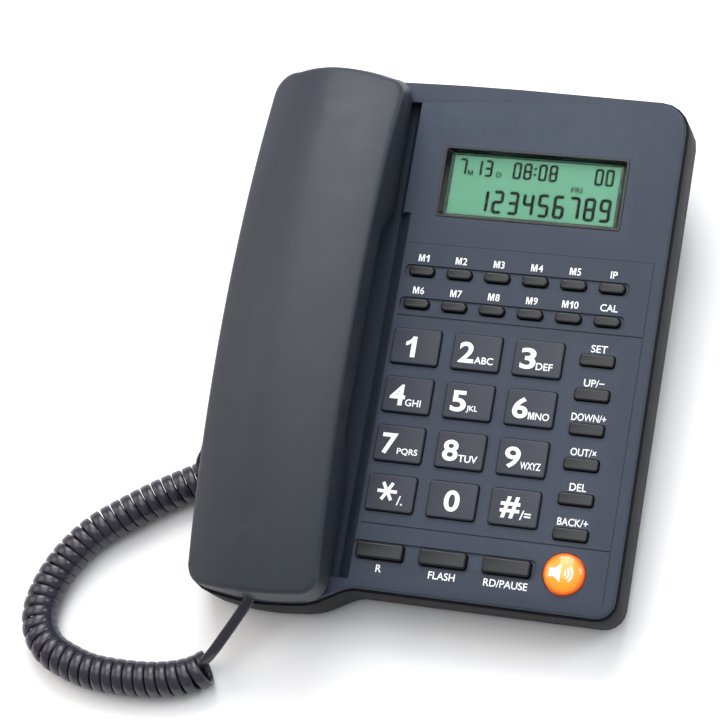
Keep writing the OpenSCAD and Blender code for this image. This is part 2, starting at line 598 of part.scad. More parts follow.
module handset_screws() color("#a8abb0") on_face()
    for (p = hand_screw_at) translate([p.x, p.y, cup_z + 0.3]) {
    cylinder(h = 1.2, r = screw_r);
    cylinder(h = 8, r = screw_r - 0.5);
}

// --- handset cord: flat lead, curled part, flat tail, and a plug at each end ---
coil_z = coil_d / 2;
// middle line of the curled part on the desk
coil_route = [[-72, -129], [-81, -132], [-92, -134.5], [-104, -135], [-116, -134.5], [-126, -132], [-135, -128],
    [-141, -121], [-143, -112], [-141, -101], [-136, -90], [-128, -79.5], [-117, -70.5], [-105, -62], [-90, -53]];
lead_route = [[-53.5, -103.94, 28.6], [-53.8, -107, 28.1], [-55, -112, 25], [-57.5, -117, 21],
    [-61, -121.5, 16.5], [-65, -125, 13], [-70, -127.5, 10]];
tail_route = [[-83.4, -38.6, 20.8], [-87, -38.8, 20.6], [-90, -41, 19.3], [-91.3, -45, 17], [-90.5, -49, 14.3],
    [-88.5, -51.5, 12]];
module handset_plug() color([0.85, 0.87, 0.9, 0.6]) on_face()
    translate([hand_plug_x - plug_w / 2, hand_plug_y, hand_plug_z - plug_h / 2])
    cube([plug_w, plug_l, plug_h]);
module base_plug() color([0.85, 0.87, 0.9, 0.6]) on_face()
    translate([-face_w / 2 - case_lip - 1.2, handset_jack_y - plug_w / 2, jack_z - plug_h / 2])
    cube([plug_l, plug_w, plug_h]);

// A tube of n sides swept along a list of points, its rings square to the path
function tangent(path, i) = unit(path[min(i + 1, len(path) - 1)] - path[max(i - 1, 0)]);
function side_of(t) = unit(cross(t, abs(t.z) > 0.9 ? [0, 1, 0] : [0, 0, 1]));
function ring(path, i, r, n) = let (t = tangent(path, i), u = side_of(t), w = cross(u, t))
    [for (k = [0:n - 1]) path[i] + r * (u * cos(360 * k / n) + w * sin(360 * k / n))];
module tube(path, r, n) {
    count = len(path);
    points = [for (i = [0:count - 1]) each ring(path, i, r, n)];
    sides = [for (i = [0:count - 2], k = [0:n - 1]) let (a = i * n + k, b = i * n + (k + 1) % n)
        each [[a, a + n, b + n], [a, b + n, b]]];
    polyhedron(points, concat(sides, [[for (k = [0:n - 1]) k]],
        [[for (k = [n - 1:-1:0]) (count - 1) * n + k]]), convexity = 10);
}
// A smooth curve through the chosen points
function spline(a, b, c, d, t) = 0.5 * ((2 * b) + (c - a) * t + (2 * a - 5 * b + 4 * c - d) * t * t
    + (3 * b - a - 3 * c + d) * t * t * t);
function smooth(path, steps) = let (n = len(path)) concat([for (i = [0:n - 2], s = [0:steps - 1])
    spline(path[max(i - 1, 0)], path[i], path[i + 1], path[min(i + 2, n - 1)], s / steps)], [path[n - 1]]);
module cord_lead() color("#3d3a45") tube(smooth(lead_route, 2), lead_w / 2, 8);
module cord_coil() color("#3d3a45")
    tube([for (p = smooth(coil_route, 2)) [p.x, p.y, coil_z]], coil_d / 2, 12);
module cord_tail() color("#3d3a45") tube(smooth(tail_route, 2), lead_w / 2, 8);

lower_case();
upper_case();
display_bezel();
display_window();
lcd_panel();
main_board();
key_mat();
loudspeaker();
line_jack();
handset_jack();
rubber_feet();
case_screws();
battery_door();
batteries();
hook_plunger();
hook_switch();
handset_outer_shell();
handset_inner_shell();
receiver_capsule();
handset_microphone();
handset_screws();
handset_plug();
cord_lead();
cord_coil();
cord_tail();
base_plug();
for (i = [0:11]) dial_key(i);
for (i = [0:11]) memory_key(i);
for (i = [0:5]) side_key(i);
for (i = [0:2]) front_key(i);
speaker_key();
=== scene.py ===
import json
import math

import bmesh
import bpy
from mathutils import Matrix, Vector


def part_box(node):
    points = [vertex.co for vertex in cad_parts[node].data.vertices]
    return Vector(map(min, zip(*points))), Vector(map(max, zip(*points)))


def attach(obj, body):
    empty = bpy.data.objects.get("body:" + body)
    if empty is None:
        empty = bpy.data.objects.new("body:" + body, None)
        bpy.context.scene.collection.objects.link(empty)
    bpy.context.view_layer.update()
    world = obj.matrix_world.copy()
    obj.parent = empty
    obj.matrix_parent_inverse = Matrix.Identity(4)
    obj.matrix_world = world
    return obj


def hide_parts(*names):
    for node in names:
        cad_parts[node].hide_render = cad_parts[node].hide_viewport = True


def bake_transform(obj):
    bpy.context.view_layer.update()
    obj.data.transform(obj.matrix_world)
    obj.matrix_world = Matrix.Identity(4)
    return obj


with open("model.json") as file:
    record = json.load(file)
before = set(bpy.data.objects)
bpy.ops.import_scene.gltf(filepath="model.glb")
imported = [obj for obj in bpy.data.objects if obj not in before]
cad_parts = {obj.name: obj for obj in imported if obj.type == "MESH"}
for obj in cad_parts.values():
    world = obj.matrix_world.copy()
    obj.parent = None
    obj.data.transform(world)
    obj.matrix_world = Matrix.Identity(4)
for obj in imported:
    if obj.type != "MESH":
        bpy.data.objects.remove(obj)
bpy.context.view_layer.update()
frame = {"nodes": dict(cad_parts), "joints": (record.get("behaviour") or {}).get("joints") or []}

mm = 0.001
nodes = frame["nodes"]

# The face's own frame: x right, y rearward, z out of the face, from its centre
lcd = {"at": (26.5, 59.5), "top": -3.4, "thick": 2.4}
liftAxis = next(j["axis"] for j in frame["joints"] if j["name"] == "handset_lift")
faceTilt = math.atan2(-liftAxis[1], liftAxis[2])
lcdLow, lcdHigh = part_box("lcd_panel")
lcdMiddle = Vector((lcd["at"][0], lcd["at"][1], lcd["top"] - lcd["thick"] / 2)) * mm
faceToWorld = (Matrix.Translation((lcdLow + lcdHigh) / 2) @ Matrix.Rotation(faceTilt, 4, "X")
               @ Matrix.Translation(-lcdMiddle))
worldToFace = faceToWorld.inverted()
bpy.ops.object.select_all(action="DESELECT")
print("frame loaded, face tilt", round(math.degrees(faceTilt), 2))


# small helpers
def leaveEdit():
    if bpy.context.mode != "OBJECT":
        bpy.ops.object.mode_set(mode="OBJECT")


def pick(piece):
    leaveEdit()
    bpy.ops.object.select_all(action="DESELECT")
    piece.select_set(True)
    bpy.context.view_layer.objects.active = piece


def edit(piece):
    pick(piece)
    bpy.ops.object.mode_set(mode="EDIT")


def choose(piece, kind, test):
    # selects the vertices, edges or faces of the mesh in edit mode that pass the test
    bpy.ops.mesh.select_mode(type={"verts": "VERT", "edges": "EDGE", "faces": "FACE"}[kind])
    bpy.ops.mesh.select_all(action="DESELECT")
    mesh = bmesh.from_edit_mesh(piece.data)
    for item in getattr(mesh, kind):
        if test(item):
            item.select_set(True)
    mesh.select_flush_mode()
    bmesh.update_edit_mesh(piece.data)


def finishMesh(piece, angle=35):
    pick(piece)
    bpy.ops.object.shade_smooth_by_angle(angle=math.radians(angle))


def newObject(name, data):
    item = bpy.data.objects.new(name, data)
    bpy.context.scene.collection.objects.link(item)
    return item


def applyPlace(piece):
    # moves the place, turn and scale of a piece into its mesh
    pick(piece)
    bpy.ops.object.transform_apply(location=True, rotation=True, scale=True)
    return piece


def settle(piece, matrix=faceToWorld):
    # puts a piece that was made in the face's frame in its place, with the place in its mesh
    pick(piece)
    piece.matrix_world = matrix @ piece.matrix_world
    return applyPlace(piece)


def dress(piece, material, body, replaced=()):
    piece.data.materials.clear()
    piece.data.materials.append(material)
    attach(piece, body)
    if replaced:
        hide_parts(*replaced)
    return piece


def meshPiece(name, points, faces):
    mesh = bpy.data.meshes.new(name)
    mesh.from_pydata([Vector(p) * mm for p in points], [], faces)
    mesh.update()
    return newObject(name, mesh)


def outward(piece, merge=0.001):
    edit(piece)
    bpy.ops.mesh.select_all(action="SELECT")
    bpy.ops.mesh.remove_doubles(threshold=merge * mm)
    bpy.ops.mesh.normals_make_consistent(inside=False)
    leaveEdit()


def cadCopy(node, name):
    # a merged copy of a CAD node, in the face's frame, ready to be worked on
    piece = settle(newObject(name, nodes[node].data.copy()), worldToFace)
    edit(piece)
    bpy.ops.mesh.customdata_custom_splitnormals_clear()
    bpy.ops.mesh.select_all(action="SELECT")
    bpy.ops.mesh.remove_doubles(threshold=0.002 * mm)
    bpy.ops.mesh.dissolve_limited(angle_limit=math.radians(0.6))
    bpy.ops.mesh.normals_make_consistent(inside=False)
    leaveEdit()
    return piece


def cut(piece, *cutters):
    for cutter in cutters:
        modifier = piece.modifiers.new("cut", "BOOLEAN")
        modifier.operation = "DIFFERENCE"
        modifier.solver = "EXACT"
        modifier.object = cutter
        pick(piece)
        bpy.ops.object.modifier_apply(modifier=modifier.name)
    for cutter in cutters:
        bpy.data.objects.remove(cutter)


def blockPiece(name, low, high):
    centre = [(a + b) / 2 * mm for a, b in zip(low, high)]
    bpy.ops.object.select_all(action="DESELECT")
    bpy.ops.mesh.primitive_cube_add(size=1, location=centre)
    piece = bpy.context.object
    piece.name = name
    piece.scale = [(b - a) * mm for a, b in zip(low, high)]
    return applyPlace(piece)


def joined(name, pieces):
    pick(pieces[0])
    for piece in pieces:
        piece.select_set(True)
    if len(pieces) > 1:
        bpy.ops.object.join()
    pieces[0].name = name
    return pieces[0]


# finishes
def newGroup(name, inputs, outputs):
    group = bpy.data.node_groups.new(name, "ShaderNodeTree")
    for label, kind, value in inputs:
        socket = group.interface.new_socket(label, in_out="INPUT", socket_type=kind)
        if value is not None:
            socket.default_value = value
    for label, kind in outputs:
        group.interface.new_socket(label, in_out="OUTPUT", socket_type=kind)
    return group, group.nodes.new("NodeGroupInput"), group.nodes.new("NodeGroupOutput")


def addNode(tree, kind, **settings):
    node = tree.nodes.new(kind)
    for key, value in settings.items():
        setattr(node, key, value)
    return node


def setSockets(node, values):
    for label, value in values.items():
        node.inputs[label].default_value = value


def mathNode(tree, operation, first, second, clamp=False):
    node = addNode(tree, "ShaderNodeMath", operation=operation, use_clamp=clamp)
    for socket, value in zip(node.inputs, (first, second)):
        if isinstance(value, (int, float)):
            socket.default_value = value
        else:
            tree.links.new(value, socket)
    return node.outputs[0]


def mouldedGrainGroup():
    # spark-eroded grain of a moulded part, with the slow drift of its tone and of its gloss
    group, given, result = newGroup("mouldedGrain", [
        ("Vector", "NodeSocketVector", None), ("Grain Scale", "NodeSocketFloat", 1500.0),
        ("Drift Scale", "NodeSocketFloat", 18.0)],
        [("Height", "NodeSocketFloat"), ("Tone", "NodeSocketFloat"), ("Smudge", "NodeSocketFloat")])
    fine = addNode(group, "ShaderNodeTexNoise")
    setSockets(fine, {"Detail": 3, "Roughness": 0.65})
    pits = addNode(group, "ShaderNodeTexVoronoi", feature="F1")
    drift = addNode(group, "ShaderNodeTexNoise")
    drift.inputs["Detail"].default_value = 5
    smudge = addNode(group, "ShaderNodeTexNoise")
    setSockets(smudge, {"Detail": 4, "Distortion": 1.2})
    link = group.links.new
    for node in (fine, pits, drift, smudge):
        link(given.outputs["Vector"], node.inputs["Vector"])
    link(given.outputs["Grain Scale"], fine.inputs["Scale"])
    link(given.outputs["Grain Scale"], pits.inputs["Scale"])
    link(given.outputs["Drift Scale"], drift.inputs["Scale"])
    link(mathNode(group, "MULTIPLY", given.outputs["Drift Scale"], 2.7), smudge.inputs["Scale"])
    height = mathNode(group, "ADD", mathNode(group, "MULTIPLY", fine.outputs[0], 0.7),
                      mathNode(group, "MULTIPLY", pits.outputs["Distance"], 0.4))
    link(height, result.inputs["Height"])
    speck = mathNode(group, "MULTIPLY", mathNode(group, "SUBTRACT", fine.outputs[0], 0.5), 0.5)
    link(mathNode(group, "ADD", drift.outputs[0], speck, clamp=True), result.inputs["Tone"])
    link(smudge.outputs[0], result.inputs["Smudge"])
    return group


def edgeWearGroup():
    # rubbed edges: the convex corners, broken up by a coarse noise
    group, given, result = newGroup("edgeWear", [
        ("Vector", "NodeSocketVector", None), ("Amount", "NodeSocketFloat", 0.4)],
        [("Wear", "NodeSocketFloat")])
    shape = addNode(group, "ShaderNodeNewGeometry")
    noise = addNode(group, "ShaderNodeTexNoise")
    setSockets(noise, {"Scale": 260, "Detail": 4})
    group.links.new(given.outputs["Vector"], noise.inputs["Vector"])
    beyond = mathNode(group, "SUBTRACT", shape.outputs["Pointiness"], 0.52)
    sharp = mathNode(group, "MULTIPLY", beyond, 9, clamp=True)
    broken = mathNode(group, "MULTIPLY", sharp, mathNode(group, "ADD", noise.outputs[0], 0.25))
    worn = mathNode(group, "MULTIPLY", broken, given.outputs["Amount"], clamp=True)
    group.links.new(worn, result.inputs["Wear"])
    return group


mouldedGrain = mouldedGrainGroup()
edgeWear = edgeWearGroup()


def startMaterial(name):
    material = bpy.data.materials.new(name)
    material.use_nodes = True
    tree = material.node_tree
    return material, tree, tree.nodes["Principled BSDF"], addNode(tree, "ShaderNodeTexCoord")


def grainNode(tree, place, scale):
    texture = addNode(tree, "ShaderNodeGroup", node_tree=mouldedGrain)
    texture.inputs["Grain Scale"].default_value = scale
    tree.links.new(place.outputs["Object"], texture.inputs["Vector"])
    return texture


def plastic(name, colour, roughness=0.45, grain=1500, depth=0.02, tone=0.12, gloss=0.07, wear=0.35,
            specular=0.5, metallic=0.0):
    material, tree, shader, place = startMaterial(name)
    link = tree.links.new
    texture = grainNode(tree, place, grain)
    mix = addNode(tree, "ShaderNodeMix", data_type="RGBA")
    setSockets(mix, {"A": [c * (1 - tone) for c in colour] + [1],
                     "B": [min(1, c * (1 + tone)) for c in colour] + [1]})
    link(texture.outputs["Tone"], mix.inputs["Factor"])
    worn = addNode(tree, "ShaderNodeGroup", node_tree=edgeWear)
    worn.inputs["Amount"].default_value = wear
    link(place.outputs["Object"], worn.inputs["Vector"])
    rubbed = addNode(tree, "ShaderNodeMix", data_type="RGBA")
    rubbed.inputs["B"].default_value = [min(1, c * 2.2 + 0.02) for c in colour] + [1]
    link(worn.outputs["Wear"], rubbed.inputs["Factor"])
    link(mix.outputs["Result"], rubbed.inputs["A"])
    link(rubbed.outputs["Result"], shader.inputs["Base Color"])
    drift = mathNode(tree, "SUBTRACT", texture.outputs["Smudge"], 0.5)
    dull = mathNode(tree, "MULTIPLY", drift, gloss * 2)
    link(mathNode(tree, "ADD", dull, roughness, clamp=True), shader.inputs["Roughness"])
    bump = addNode(tree, "ShaderNodeBump")
    bump.inputs["Distance"].default_value = depth * mm
    link(texture.outputs["Height"], bump.inputs["Height"])
    link(bump.outputs["Normal"], shader.inputs["Normal"])
    setSockets(shader, {"Specular IOR Level": specular, "Metallic": metallic})
    return material


def clearPlastic(name, colour, roughness=0.03, ior=1.49):
    material, tree, shader, place = startMaterial(name)
    texture = grainNode(tree, place, 300)
    haze = mathNode(tree, "MULTIPLY", texture.outputs["Smudge"], roughness)
    tree.links.new(mathNode(tree, "ADD", haze, roughness / 2), shader.inputs["Roughness"])
    setSockets(shader, {"Base Color": list(colour) + [1], "Transmission Weight": 1, "IOR": ior})
    return material


def lcdMaterial():
    # green reflective display, its tone drifting a little across it, with a weak emission that paints a glow
    # on it
    material, tree, shader, place = startMaterial("lcdGreen")
    link = tree.links.new
    texture = grainNode(tree, place, 1200)
    texture.inputs["Drift Scale"].default_value = 40
    mix = addNode(tree, "ShaderNodeMix", data_type="RGBA")
    setSockets(mix, {"A": (0.066, 0.245, 0.140, 1), "B": (0.090, 0.310, 0.185, 1)})
    link(texture.outputs["Tone"], mix.inputs["Factor"])
    link(mix.outputs["Result"], shader.inputs["Base Color"])
    link(mix.outputs["Result"], shader.inputs["Emission Color"])
    # the emission is a painted glow
    setSockets(shader, {"Emission Strength": 0.12, "Roughness": 0.5})
    return material


def orangeMaterial(centre, radius):
    # translucent orange, with a painted highlight making it yellower at its crown and painted shade making it
    # redder towards the rim; its weak emission paints a glow on it
    material, tree, shader, place = startMaterial("speakerOrange")
    link = tree.links.new
    move = addNode(tree, "ShaderNodeMapping")
    move.inputs["Location"].default_value = [-c for c in centre]
    link(place.outputs["Object"], move.inputs["Vector"])
    far = addNode(tree, "ShaderNodeVectorMath", operation="LENGTH")
    link(move.outputs["Vector"], far.inputs[0])
    share = mathNode(tree, "DIVIDE", far.outputs["Value"], radius)
    texture = grainNode(tree, place, 900)
    wander = mathNode(tree, "MULTIPLY", texture.outputs["Tone"], 0.06)
    # this ramp paints the highlight at the crown and the shade at the rim
    ramp = addNode(tree, "ShaderNodeValToRGB")
    ramp.color_ramp.elements[0].position = 0.3
    ramp.color_ramp.elements[0].color = (1.0, 0.34, 0.02, 1)
    ramp.color_ramp.elements[1].position = 1.0
    ramp.color_ramp.elements[1].color = (0.70, 0.09, 0.004, 1)
    middle = ramp.color_ramp.elements.new(0.86)
    middle.color = (0.95, 0.24, 0.01, 1)
    link(mathNode(tree, "ADD", share, wander), ramp.inputs["Fac"])
    link(ramp.outputs["Color"], shader.inputs["Base Color"])
    link(ramp.outputs["Color"], shader.inputs["Emission Color"])
    # the emission is a painted glow
    setSockets(shader, {"Emission Strength": 0.35, "Roughness": 0.3, "Coat Weight": 0.5})
    return material


facePlastic = plastic("facePlastic", (0.028, 0.037, 0.058), roughness=0.56, grain=1900, depth=0.035,
                      specular=0.3)
handsetPlastic = plastic("handsetPlastic", (0.021, 0.026, 0.037), roughness=0.50, grain=1400, depth=0.05,
                         specular=0.42)
# near-black case plastic; it is also used as painted shade on the walls of the face's key holes and slots
casePlastic = plastic("casePlastic", (0.006, 0.006, 0.008), roughness=0.6, grain=1500, depth=0.03,
                      specular=0.16, wear=0.15)
dialPlastic = plastic("dialPlastic", (0.024, 0.029, 0.043), roughness=0.45, grain=2300, depth=0.012,
                      specular=0.35)
smallKeyPlastic = plastic("smallKeyPlastic", (0.007, 0.008, 0.010), roughness=0.30, grain=2300, depth=0.008,
                          specular=0.35, wear=0.15)
bezelPlastic = plastic("bezelPlastic", (0.004, 0.004, 0.005), roughness=0.2, grain=900, depth=0.003,
                       gloss=0.04, specular=0.4, wear=0.1)
windowClear = clearPlastic("windowClear", (0.97, 0.99, 0.98), ior=1.12)
lcdGreen = lcdMaterial()
lcdInk = plastic("lcdInk", (0.003, 0.010, 0.006), roughness=0.6, grain=900, depth=0.002, wear=0, specular=0.1)
printWhite = plastic("printWhite", (0.86, 0.87, 0.88), roughness=0.5, grain=3000, depth=0.004, tone=0.03,
                     wear=0)
cordJacket = plastic("cordJacket", (0.022, 0.020, 0.032), roughness=0.27, grain=700, depth=0.02, gloss=0.05,
                     wear=0.25)
footRubber = plastic("footRubber", (0.016, 0.016, 0.017), roughness=0.85, grain=1100, depth=0.05)
screwSteel = plastic("screwSteel", (0.46, 0.47, 0.49), roughness=0.32, grain=2500, depth=0.01, metallic=1)
goldContact = plastic("goldContact", (0.83, 0.60, 0.22), roughness=0.22, grain=2500, depth=0.004, metallic=1)
boardGreen = plastic("boardGreen", (0.02, 0.10, 0.04), roughness=0.3, grain=500, depth=0.03, tone=0.3)
siliconeGrey = plastic("siliconeGrey", (0.26, 0.27, 0.29), roughness=0.6, grain=800, depth=0.02)
speakerSteel = plastic("speakerSteel", (0.17, 0.17, 0.18), roughness=0.38, grain=1200, depth=0.02,
                       metallic=0.7)
jackBlack = plastic("jackBlack", (0.014, 0.014, 0.016), roughness=0.36, grain=1200, depth=0.01)
jacketFoil = plastic("jacketFoil", (0.42, 0.25, 0.08), roughness=0.3, grain=700, depth=0.01, metallic=0.35)
plungerWhite = plastic("plungerWhite", (0.66, 0.67, 0.68), roughness=0.4, grain=1200, depth=0.01)
plugClear = clearPlastic("plugClear", (0.86, 0.88, 0.92), roughness=0.08, ior=1.58)
print("finishes made")

# camera, light and floor
view = {"at": (0.27405, -0.35999, 0.9361), "right": (0.9491, 0.2039, -0.2400),
        "up": (-0.0981, 0.9155, 0.3902), "lens": 135}


def makeCamera():
    data = bpy.data.cameras.new("camera")
    data.lens = view["lens"]
    data.sensor_width = 36
    data.clip_end = 20
    camera = newObject("camera", data)
    right = Vector(view["right"]).normalized()
    up = (Vector(view["up"]) - Vector(view["up"]).dot(right) * right).normalized()
    turn = Matrix((right, up, right.cross(up))).transposed()
    camera.matrix_world = Matrix.Translation(view["at"]) @ turn.to_4x4()
    bpy.context.scene.camera = camera


lights = {
    "overhead": {"from": (-0.15, 0.95, 1.15), "size": 0.9, "power": 17, "colour": (0.97, 0.98, 1.0)},
    "top": {"from": (0.0, 0.05, 1.5), "size": 1.0, "power": 9, "colour": (1.0, 1.0, 1.0)},
    "fill": {"from": (-1.0, 0.1, 0.8), "size": 0.8, "power": 4.5, "colour": (1.0, 0.90, 0.80)},
    "cool": {"from": (0.95, 0.35, 1.0), "size": 0.5, "power": 4.5, "colour": (0.86, 0.92, 1.0)},
    "edge": {"from": (1.25, 0.45, 0.34), "size": 0.35, "power": 0.7, "colour": (1.0, 1.0, 1.0)},
}


studio = {"aim": (0, 0, 0.02), "colour": (0.98, 0.99, 1.0, 1), "strength": 0.44, "seenBrighter": 0.58}


def makeLights():
    aim = Vector(studio["aim"])
    for name, lamp in lights.items():
        data = bpy.data.lights.new(name, "AREA")
        data.shape = "SQUARE"
        data.size = lamp["size"]
        data.energy = lamp["power"]
        data.color = lamp["colour"]
        light = newObject(name, data)
        place = Vector(lamp["from"])
        turn = (place - aim).to_track_quat("Z", "Y").to_matrix().to_4x4()
        light.matrix_world = Matrix.Translation(place) @ turn
    world = bpy.data.worlds.new("studio")
    world.use_nodes = True
    tree = world.node_tree
    path = tree.nodes.new("ShaderNodeLightPath")
    seen = mathNode(tree, "MULTIPLY", path.outputs["Is Camera Ray"], studio["seenBrighter"])
    strength = mathNode(tree, "ADD", seen, studio["strength"])
    tree.nodes["Background"].inputs["Color"].default_value = studio["colour"]
    tree.links.new(strength, tree.nodes["Background"].inputs["Strength"])
    bpy.context.scene.world = world
    bpy.context.scene.view_settings.view_transform = "Standard"


def makeFloor():
    bpy.ops.mesh.primitive_plane_add(size=12, location=(0, 0, 0))
    floor = bpy.context.object
    floor.name = "floor"
    floor.data.materials.append(plastic("paleFloor", (0.93, 0.93, 0.94), roughness=0.7, grain=40, depth=0.01,
                                        tone=0.01, wear=0))


makeCamera()
makeLights()
makeFloor()
print("camera, lights and floor made")

# handset cord
cord = {
    "width": 4.05, "thick": 2.1, "length": 1.55, "coilRadius": 5.85, "coilHeight": 7, "turns": 39,
    "turnPoints": 20, "sides": 12,
    # routes in the object's own frame, in millimetres, as in the part's source
    "lead": [(-53.5, -101.2, 28.0), (-54.2, -104.8, 27.0), (-57.8, -110.2, 23.8), (-62.2, -116.3, 20.2),
             (-66.8, -122.5, 16.6)],
    "coil": [(-71, -126.6), (-76, -130), (-83, -132.6), (-92.5, -134.4), (-104, -135), (-116, -134.5),
             (-126, -132), (-135, -128), (-141, -121), (-143, -112), (-141, -101), (-136, -90), (-128, -79.5),
             (-117, -70.5), (-105, -62), (-90, -53)],
    "tail": [(-90.2, -49, 14.0), (-89.6, -45, 16.4), (-88.0, -41.4, 18.8), (-86, -39.2, 20.4),
             (-83.4, -38.6, 20.8)],
    "steps": 6, "coilSteps": 12, "blendOver": 12,
}


def throughPoints(points, steps):
    # a smooth curve through the chosen points
    curve = []
    last = len(points) - 1
    for i in range(last):
        a, b, c, d = (points[max(0, min(last, k))] for k in (i - 1, i, i + 1, i + 2))
        for s in range(steps):
            t = s / steps
            curve.append(0.5 * (2 * b + (c - a) * t + (2 * a - 5 * b + 4 * c - d) * t * t
                                + (3 * b - a - 3 * c + d) * t ** 3))
    return curve + [points[last]]


def evenly(points, count):
    # the same curve as count points at equal distances
    reach = [0]
    for a, b in zip(points, points[1:]):
        reach.append(reach[-1] + (b - a).length)
    even = []
    k = 0
    for i in range(count):
        want = reach[-1] * i / (count - 1)
        while k < len(points) - 2 and reach[k + 1] < want:
            k += 1
        even.append(points[k].lerp(points[k + 1], (want - reach[k]) / (reach[k + 1] - reach[k])))
    return even


def cordPath():
    # returns the cord's middle line and, for each point, which way its wide side points
    count = cord["turns"] * cord["turnPoints"] + 1
    axis = evenly(throughPoints([Vector((x, y, cord["coilHeight"])) for x, y in cord["coil"]],
                                cord["coilSteps"]), count)
    helix, across = [], []
    for i, centre in enumerate(axis):
        along = (axis[min(i + 1, count - 1)] - axis[max(i - 1, 0)]).normalized()
        side = along.cross(Vector((0, 0, 1))).normalized()
        angle = 2 * math.pi * i / cord["turnPoints"]
        outwards = Vector((0, 0, 1)) * math.cos(angle) + side * math.sin(angle)
        helix.append(centre + outwards * cord["coilRadius"])
        across.append(along)
    lead = throughPoints([Vector(p) for p in cord["lead"]] + [helix[0]], cord["steps"])[:-1]
    tail = throughPoints([helix[-1]] + [Vector(p) for p in cord["tail"]], cord["steps"])[1:]
    flat = Vector((-1, 0, 0))
    tailFlat = Vector((0, 1, 0))
    path = lead + helix + tail
    wide = [flat] * len(lead) + across + [flat] * len(tail)
    blendOver = cord["blendOver"]
    for i in range(blendOver):
        share = (i + 1) / (blendOver + 1)
        k = len(lead) - blendOver + i
        wide[k] = flat.lerp(across[0], share)
        wide[len(lead) + count + i] = across[-1].lerp(tailFlat, share)
    for k in range(len(lead) + count + blendOver, len(path)):
        wide[k] = tailFlat
    return path, wide


def makeCord():
    path, wide = cordPath()
    sides = cord["sides"]
    points, faces = [], []
    for i, centre in enumerate(path):
        along = (path[min(i + 1, len(path) - 1)] - path[max(i - 1, 0)]).normalized()
        across = (wide[i] - wide[i].dot(along) * along).normalized()
        through = along.cross(across)
        for k in range(sides):
            c, s = math.cos(2 * math.pi * k / sides), math.sin(2 * math.pi * k / sides)
            x = math.copysign(abs(c) ** 0.45, c) * cord["width"] / 2
            z = math.copysign(abs(s) ** 0.75, s) * cord["thick"] / 2
            points.append(centre + across * x + through * z)
    for i in range(len(path) - 1):
        for k in range(sides):
            a, b = i * sides + k, i * sides + (k + 1) % sides
            faces.append((a, b, b + sides, a + sides))
    faces.append(tuple(reversed(range(sides))))
    faces.append(tuple(range((len(path) - 1) * sides, len(path) * sides)))
    piece = meshPiece("handsetCord", points, faces)
    outward(piece)
    finishMesh(piece, 60)
    piece.data.materials.append(cordJacket)
    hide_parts("cord_lead", "cord_coil", "cord_tail")
    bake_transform(piece)
    measured = sum((b - a).length for a, b in zip(path, path[1:])) * mm
    print("cord length", round(measured, 3))


makeCord()
print("cord made")


# handset
hand = {
    "middle": -50.8, "halfWidth": 26.7, "front": -107.7, "rear": 98.9, "frontCorner": 8, "rearCorner": 7,
    "rearLeftCorner": 10, "frontBow": 1.6, "rearBow": 3.0, "crown": 33.3, "arch": 382, "archMiddle": -4.4,
    "seam": 16.3, "seamGap": 0.35, "lip": 0.8, "crease": 1.5, "wallSteps": 7,
    "gripUnder": 12, "endUnder": 0.9, "sideSteps": 90, "cornerSteps": 9, "endSteps": 14,
    "cups": {"ear": (46, 89), "mouth": (-93, -58)},
}


def crownHeight(y):
    return hand["crown"] - hand["arch"] + math.sqrt(hand["arch"] ** 2 - (y - hand["archMiddle"]) ** 2)


def smoothStep(low, high, value):
    t = max(0.0, min(1.0, (value - low) / (high - low)))
    return t * t * (3 - 2 * t)


def topHeight(x, y):
    # the crown falls a little to the right, and much more to the left
    u = (x - hand["middle"]) / hand["halfWidth"]
    drop = 4.2 * u ** 2.2 if u > 0 else 11.5 * (-u) ** 1.8
    return crownHeight(y) - drop


def underHeight(y):
    # flat grip in the middle, sweeping down to the cups and to both ends
    rear = smoothStep(32, 47, y)
    front = smoothStep(-44, -58, y)
    return hand["gripUnder"] - (hand["gripUnder"] - hand["endUnder"]) * max(rear, front)


def handOutline():
    # the plan outline with each point's inward direction, going round from the right side's front
    low, high, wide, mid = hand["front"], hand["rear"], hand["halfWidth"], hand["middle"]
    fr, rr, lr = hand["frontCorner"], hand["rearCorner"], hand["rearLeftCorner"]
    points = []

    def corner(cx, cy, radius, start):
        for k in range(hand["cornerSteps"]):
            a = start + math.pi / 2 * (k + 0.5) / hand["cornerSteps"]
            points.append((Vector((cx + radius * math.cos(a), cy + radius * math.sin(a))),
                           Vector((-math.cos(a), -math.sin(a)))))

    straight = high - low - fr - lr - 3
    side = [low + fr + straight * k / hand["sideSteps"] for k in range(hand["sideSteps"] + 1)]
    for y in side:
        points.append((Vector((mid + wide, y)), Vector((-1, 0))))
    corner(mid + wide - rr, high - rr - hand["rearBow"], rr, 0)
    for k in range(hand["endSteps"] + 1):
        t = 1 - 2 * k / hand["endSteps"]
        points.append((Vector((mid + t * (wide - (rr if t > 0 else lr)), high - hand["rearBow"] * t * t)),
                       Vector((-0.45 * t, -1)).normalized()))
    corner(mid - wide + lr, high - lr - hand["rearBow"], lr, math.pi / 2)
    for y in reversed(side):
        points.append((Vector((mid - wide, y)), Vector((1, 0))))
    corner(mid - wide + fr, low + fr + hand["frontBow"], fr, math.pi)
    for k in range(hand["endSteps"] + 1):
        t = -1 + 2 * k / hand["endSteps"]
        points.append((Vector((mid + t * (wide - fr), low + hand["frontBow"] * t * t)),
                       Vector((-0.1 * t, 1)).normalized()))
    corner(mid + wide - fr, low + fr + hand["frontBow"], fr, 1.5 * math.pi)
    return points


def handRing(outline, inset, share, height):
    # one ring: moved inwards by inset, then a share of the way to the middle line
    ring = []
    endPull = hand["halfWidth"]
    for place, inward in outline:
        p = place + inward * inset
        spine = Vector((hand["middle"], max(hand["front"] + endPull, min(hand["rear"] - endPull, p.y))))
        p = p.lerp(spine, share)
        z = height(p.x, p.y)
        back = max(0.0, z - 7.5) * 0.33 * smoothStep(60, 99, p.y) * (1 - share)
        ring.append((p.x, p.y - back, z))
    return ring


